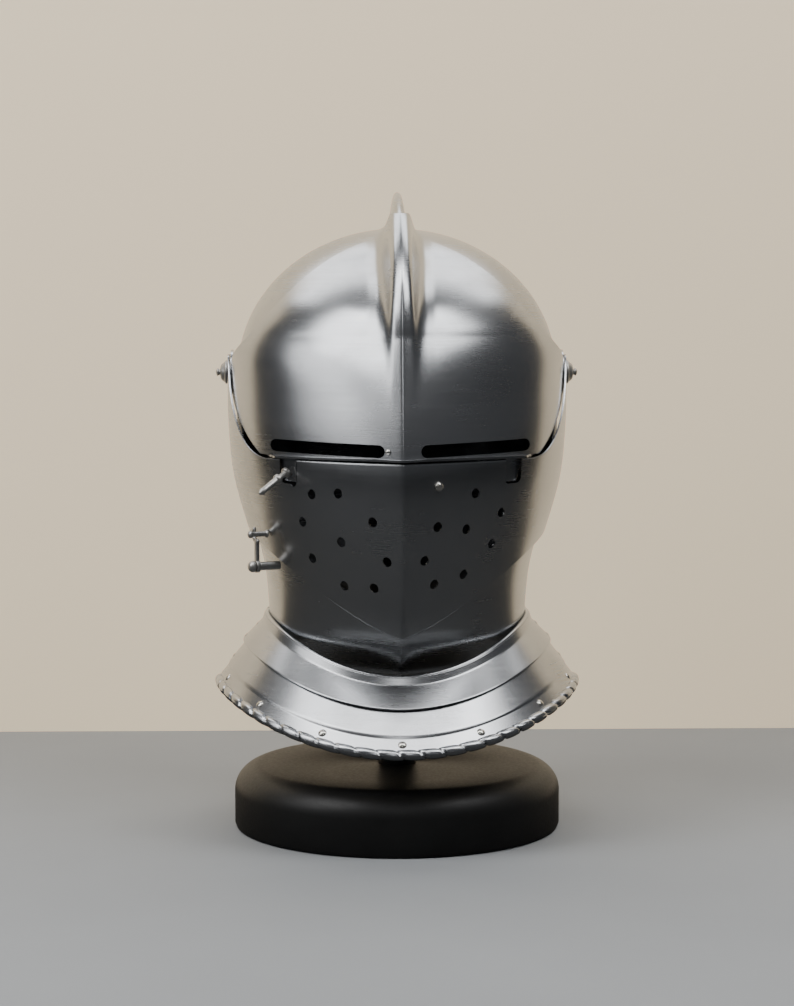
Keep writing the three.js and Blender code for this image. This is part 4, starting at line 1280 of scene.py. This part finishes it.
def softbox(name, turn, rise, distance, width, height, brightness):
    light = bpy.data.lights.new(name, "AREA")
    light.shape, light.size, light.size_y = "RECTANGLE", width, height
    light.energy = brightness * math.pi * width * height
    obj = bpy.data.objects.new(name, light)
    turn, rise = math.radians(turn), math.radians(rise)
    way = Vector((math.sin(turn) * math.cos(rise), -math.cos(turn) * math.cos(rise), math.sin(rise)))
    obj.location = LIGHT_TARGET + way * distance
    obj.rotation_euler = (-way).to_track_quat("-Z", "Y").to_euler()
    bpy.context.scene.collection.objects.link(obj)


class HELMET_OT_stage(bpy.types.Operator):
    """Camera, table top, pale wall, dim room and softboxes"""

    bl_idname = "helmet.stage"
    bl_label = "Stage"

    def execute(self, context):
        scene = context.scene
        finish = scene.helmet_finishes
        lens = bpy.data.cameras.new("view")
        lens.sensor_fit = "AUTO"
        lens.sensor_width = SENSOR
        lens.lens = FOCAL_PIXELS / PHOTO_HEIGHT * SENSOR
        camera = bpy.data.objects.new("view", lens)
        camera.location = (
            CAMERA_DISTANCE * math.sin(CAMERA_TURN), -CAMERA_DISTANCE * math.cos(CAMERA_TURN), CAMERA_HEIGHT)
        camera.rotation_euler = (math.pi / 2 - CAMERA_PITCH, 0, CAMERA_TURN)
        scene.collection.objects.link(camera)
        scene.camera = camera

        floor = thing("table_top", plane(FLOOR_HALF, FLOOR_HALF))
        # Honed stone table: nearly matt, faint cloudy tone; glossy rays get a dark colour in its place
        # everywhere, a painted dark reflection of the floor in the steel
        material, tree, shader, place = fresh_material("honed_stone")
        cloud = node(tree, "ShaderNodeTexNoise", links={"Vector": place, "Scale": 6.0, "Detail": 6.0})
        tone = node(tree, "ShaderNodeMix", {"data_type": "RGBA"}, {
            0: cloud.outputs["Fac"], 6: shade(finish.floor, 0.86), 7: linear(finish.floor)})
        # Painted dark reflection: every glossy ray that meets the floor gets the dark colour, wherever it
        # lands
        mirrored = node(tree, "ShaderNodeLightPath").outputs["Is Glossy Ray"]
        dark = node(tree, "ShaderNodeMix", {"data_type": "RGBA"}, {
            0: mirrored, 6: tone.outputs[2], 7: linear(finish.floor_reflection_shade)})
        tree.links.new(dark.outputs[2], shader.inputs["Base Color"])
        shader.inputs["Roughness"].default_value = 0.75
        shader.inputs["Specular IOR Level"].default_value = 0.2
        floor.data.materials.append(material)

        mesh = plane(WALL_HALF, WALL_TALL / 2)
        bmesh.ops.rotate(mesh, verts=mesh.verts, cent=(0, 0, 0), matrix=Matrix.Rotation(math.pi / 2, 3, "X"))
        bmesh.ops.translate(mesh, verts=mesh.verts, vec=(0, WALL_BEHIND, WALL_TALL / 2))
        wall = thing("backdrop", mesh)
        # Plain painted wall: matt, and open from behind so that it never hides the helmet
        material, tree, shader, _ = fresh_material("matt_paint")
        shader.inputs["Base Color"].default_value = linear(finish.wall)
        shader.inputs["Emission Color"].default_value = linear(finish.wall)
        shader.inputs["Emission Strength"].default_value = WALL_GLOW
        shader.inputs["Roughness"].default_value = 0.9
        shader.inputs["Specular IOR Level"].default_value = 0.1
        behind = node(tree, "ShaderNodeNewGeometry").outputs["Backfacing"]
        open_back = node(tree, "ShaderNodeMixShader", links={
            0: behind, 1: shader.outputs[0], 2: node(tree, "ShaderNodeBsdfTransparent").outputs[0]})
        tree.links.new(open_back.outputs[0], tree.nodes["Material Output"].inputs["Surface"])
        wall.data.materials.append(material)

        world = bpy.data.worlds.new("room")
        scene.world = world
        world.use_nodes = True
        world.node_tree.nodes["Background"].inputs["Color"].default_value = linear(finish.room)
        world.node_tree.nodes["Background"].inputs["Strength"].default_value = 1.0

        for row in SOFTBOXES:
            softbox(*row)
        return {"FINISHED"}


OPERATORS = [
    HELMET_OT_stage, HELMET_OT_skull, HELMET_OT_visor, HELMET_OT_ventail, HELMET_OT_bevor, HELMET_OT_gorget,
    HELMET_OT_rivets, HELMET_OT_bolts, HELMET_OT_peg, HELMET_OT_latch, HELMET_OT_stand,
]


class HELMET_PT_pieces(bpy.types.Panel):
    """Lists the pieces of the helmet and its stage"""

    bl_idname = "HELMET_PT_pieces"
    bl_label = "Close Helmet"
    bl_space_type = "VIEW_3D"
    bl_region_type = "UI"
    bl_category = "Helmet"

    def draw(self, context):
        for operator in OPERATORS:
            self.layout.operator(operator.bl_idname)


CLASSES = [HelmetSizes, HelmetFinishes, *OPERATORS, HELMET_PT_pieces]


def register():
    for cls in CLASSES:
        bpy.utils.register_class(cls)
    bpy.types.Scene.helmet_sizes = bpy.props.PointerProperty(type=HelmetSizes)
    bpy.types.Scene.helmet_finishes = bpy.props.PointerProperty(type=HelmetFinishes)


def unregister():
    del bpy.types.Scene.helmet_finishes
    del bpy.types.Scene.helmet_sizes
    for cls in reversed(CLASSES):
        bpy.utils.unregister_class(cls)


def main():
    register()
    for operator in OPERATORS:
        group, name = operator.bl_idname.split(".")
        getattr(getattr(bpy.ops, group), name)()


if __name__ == "__main__":
    main()
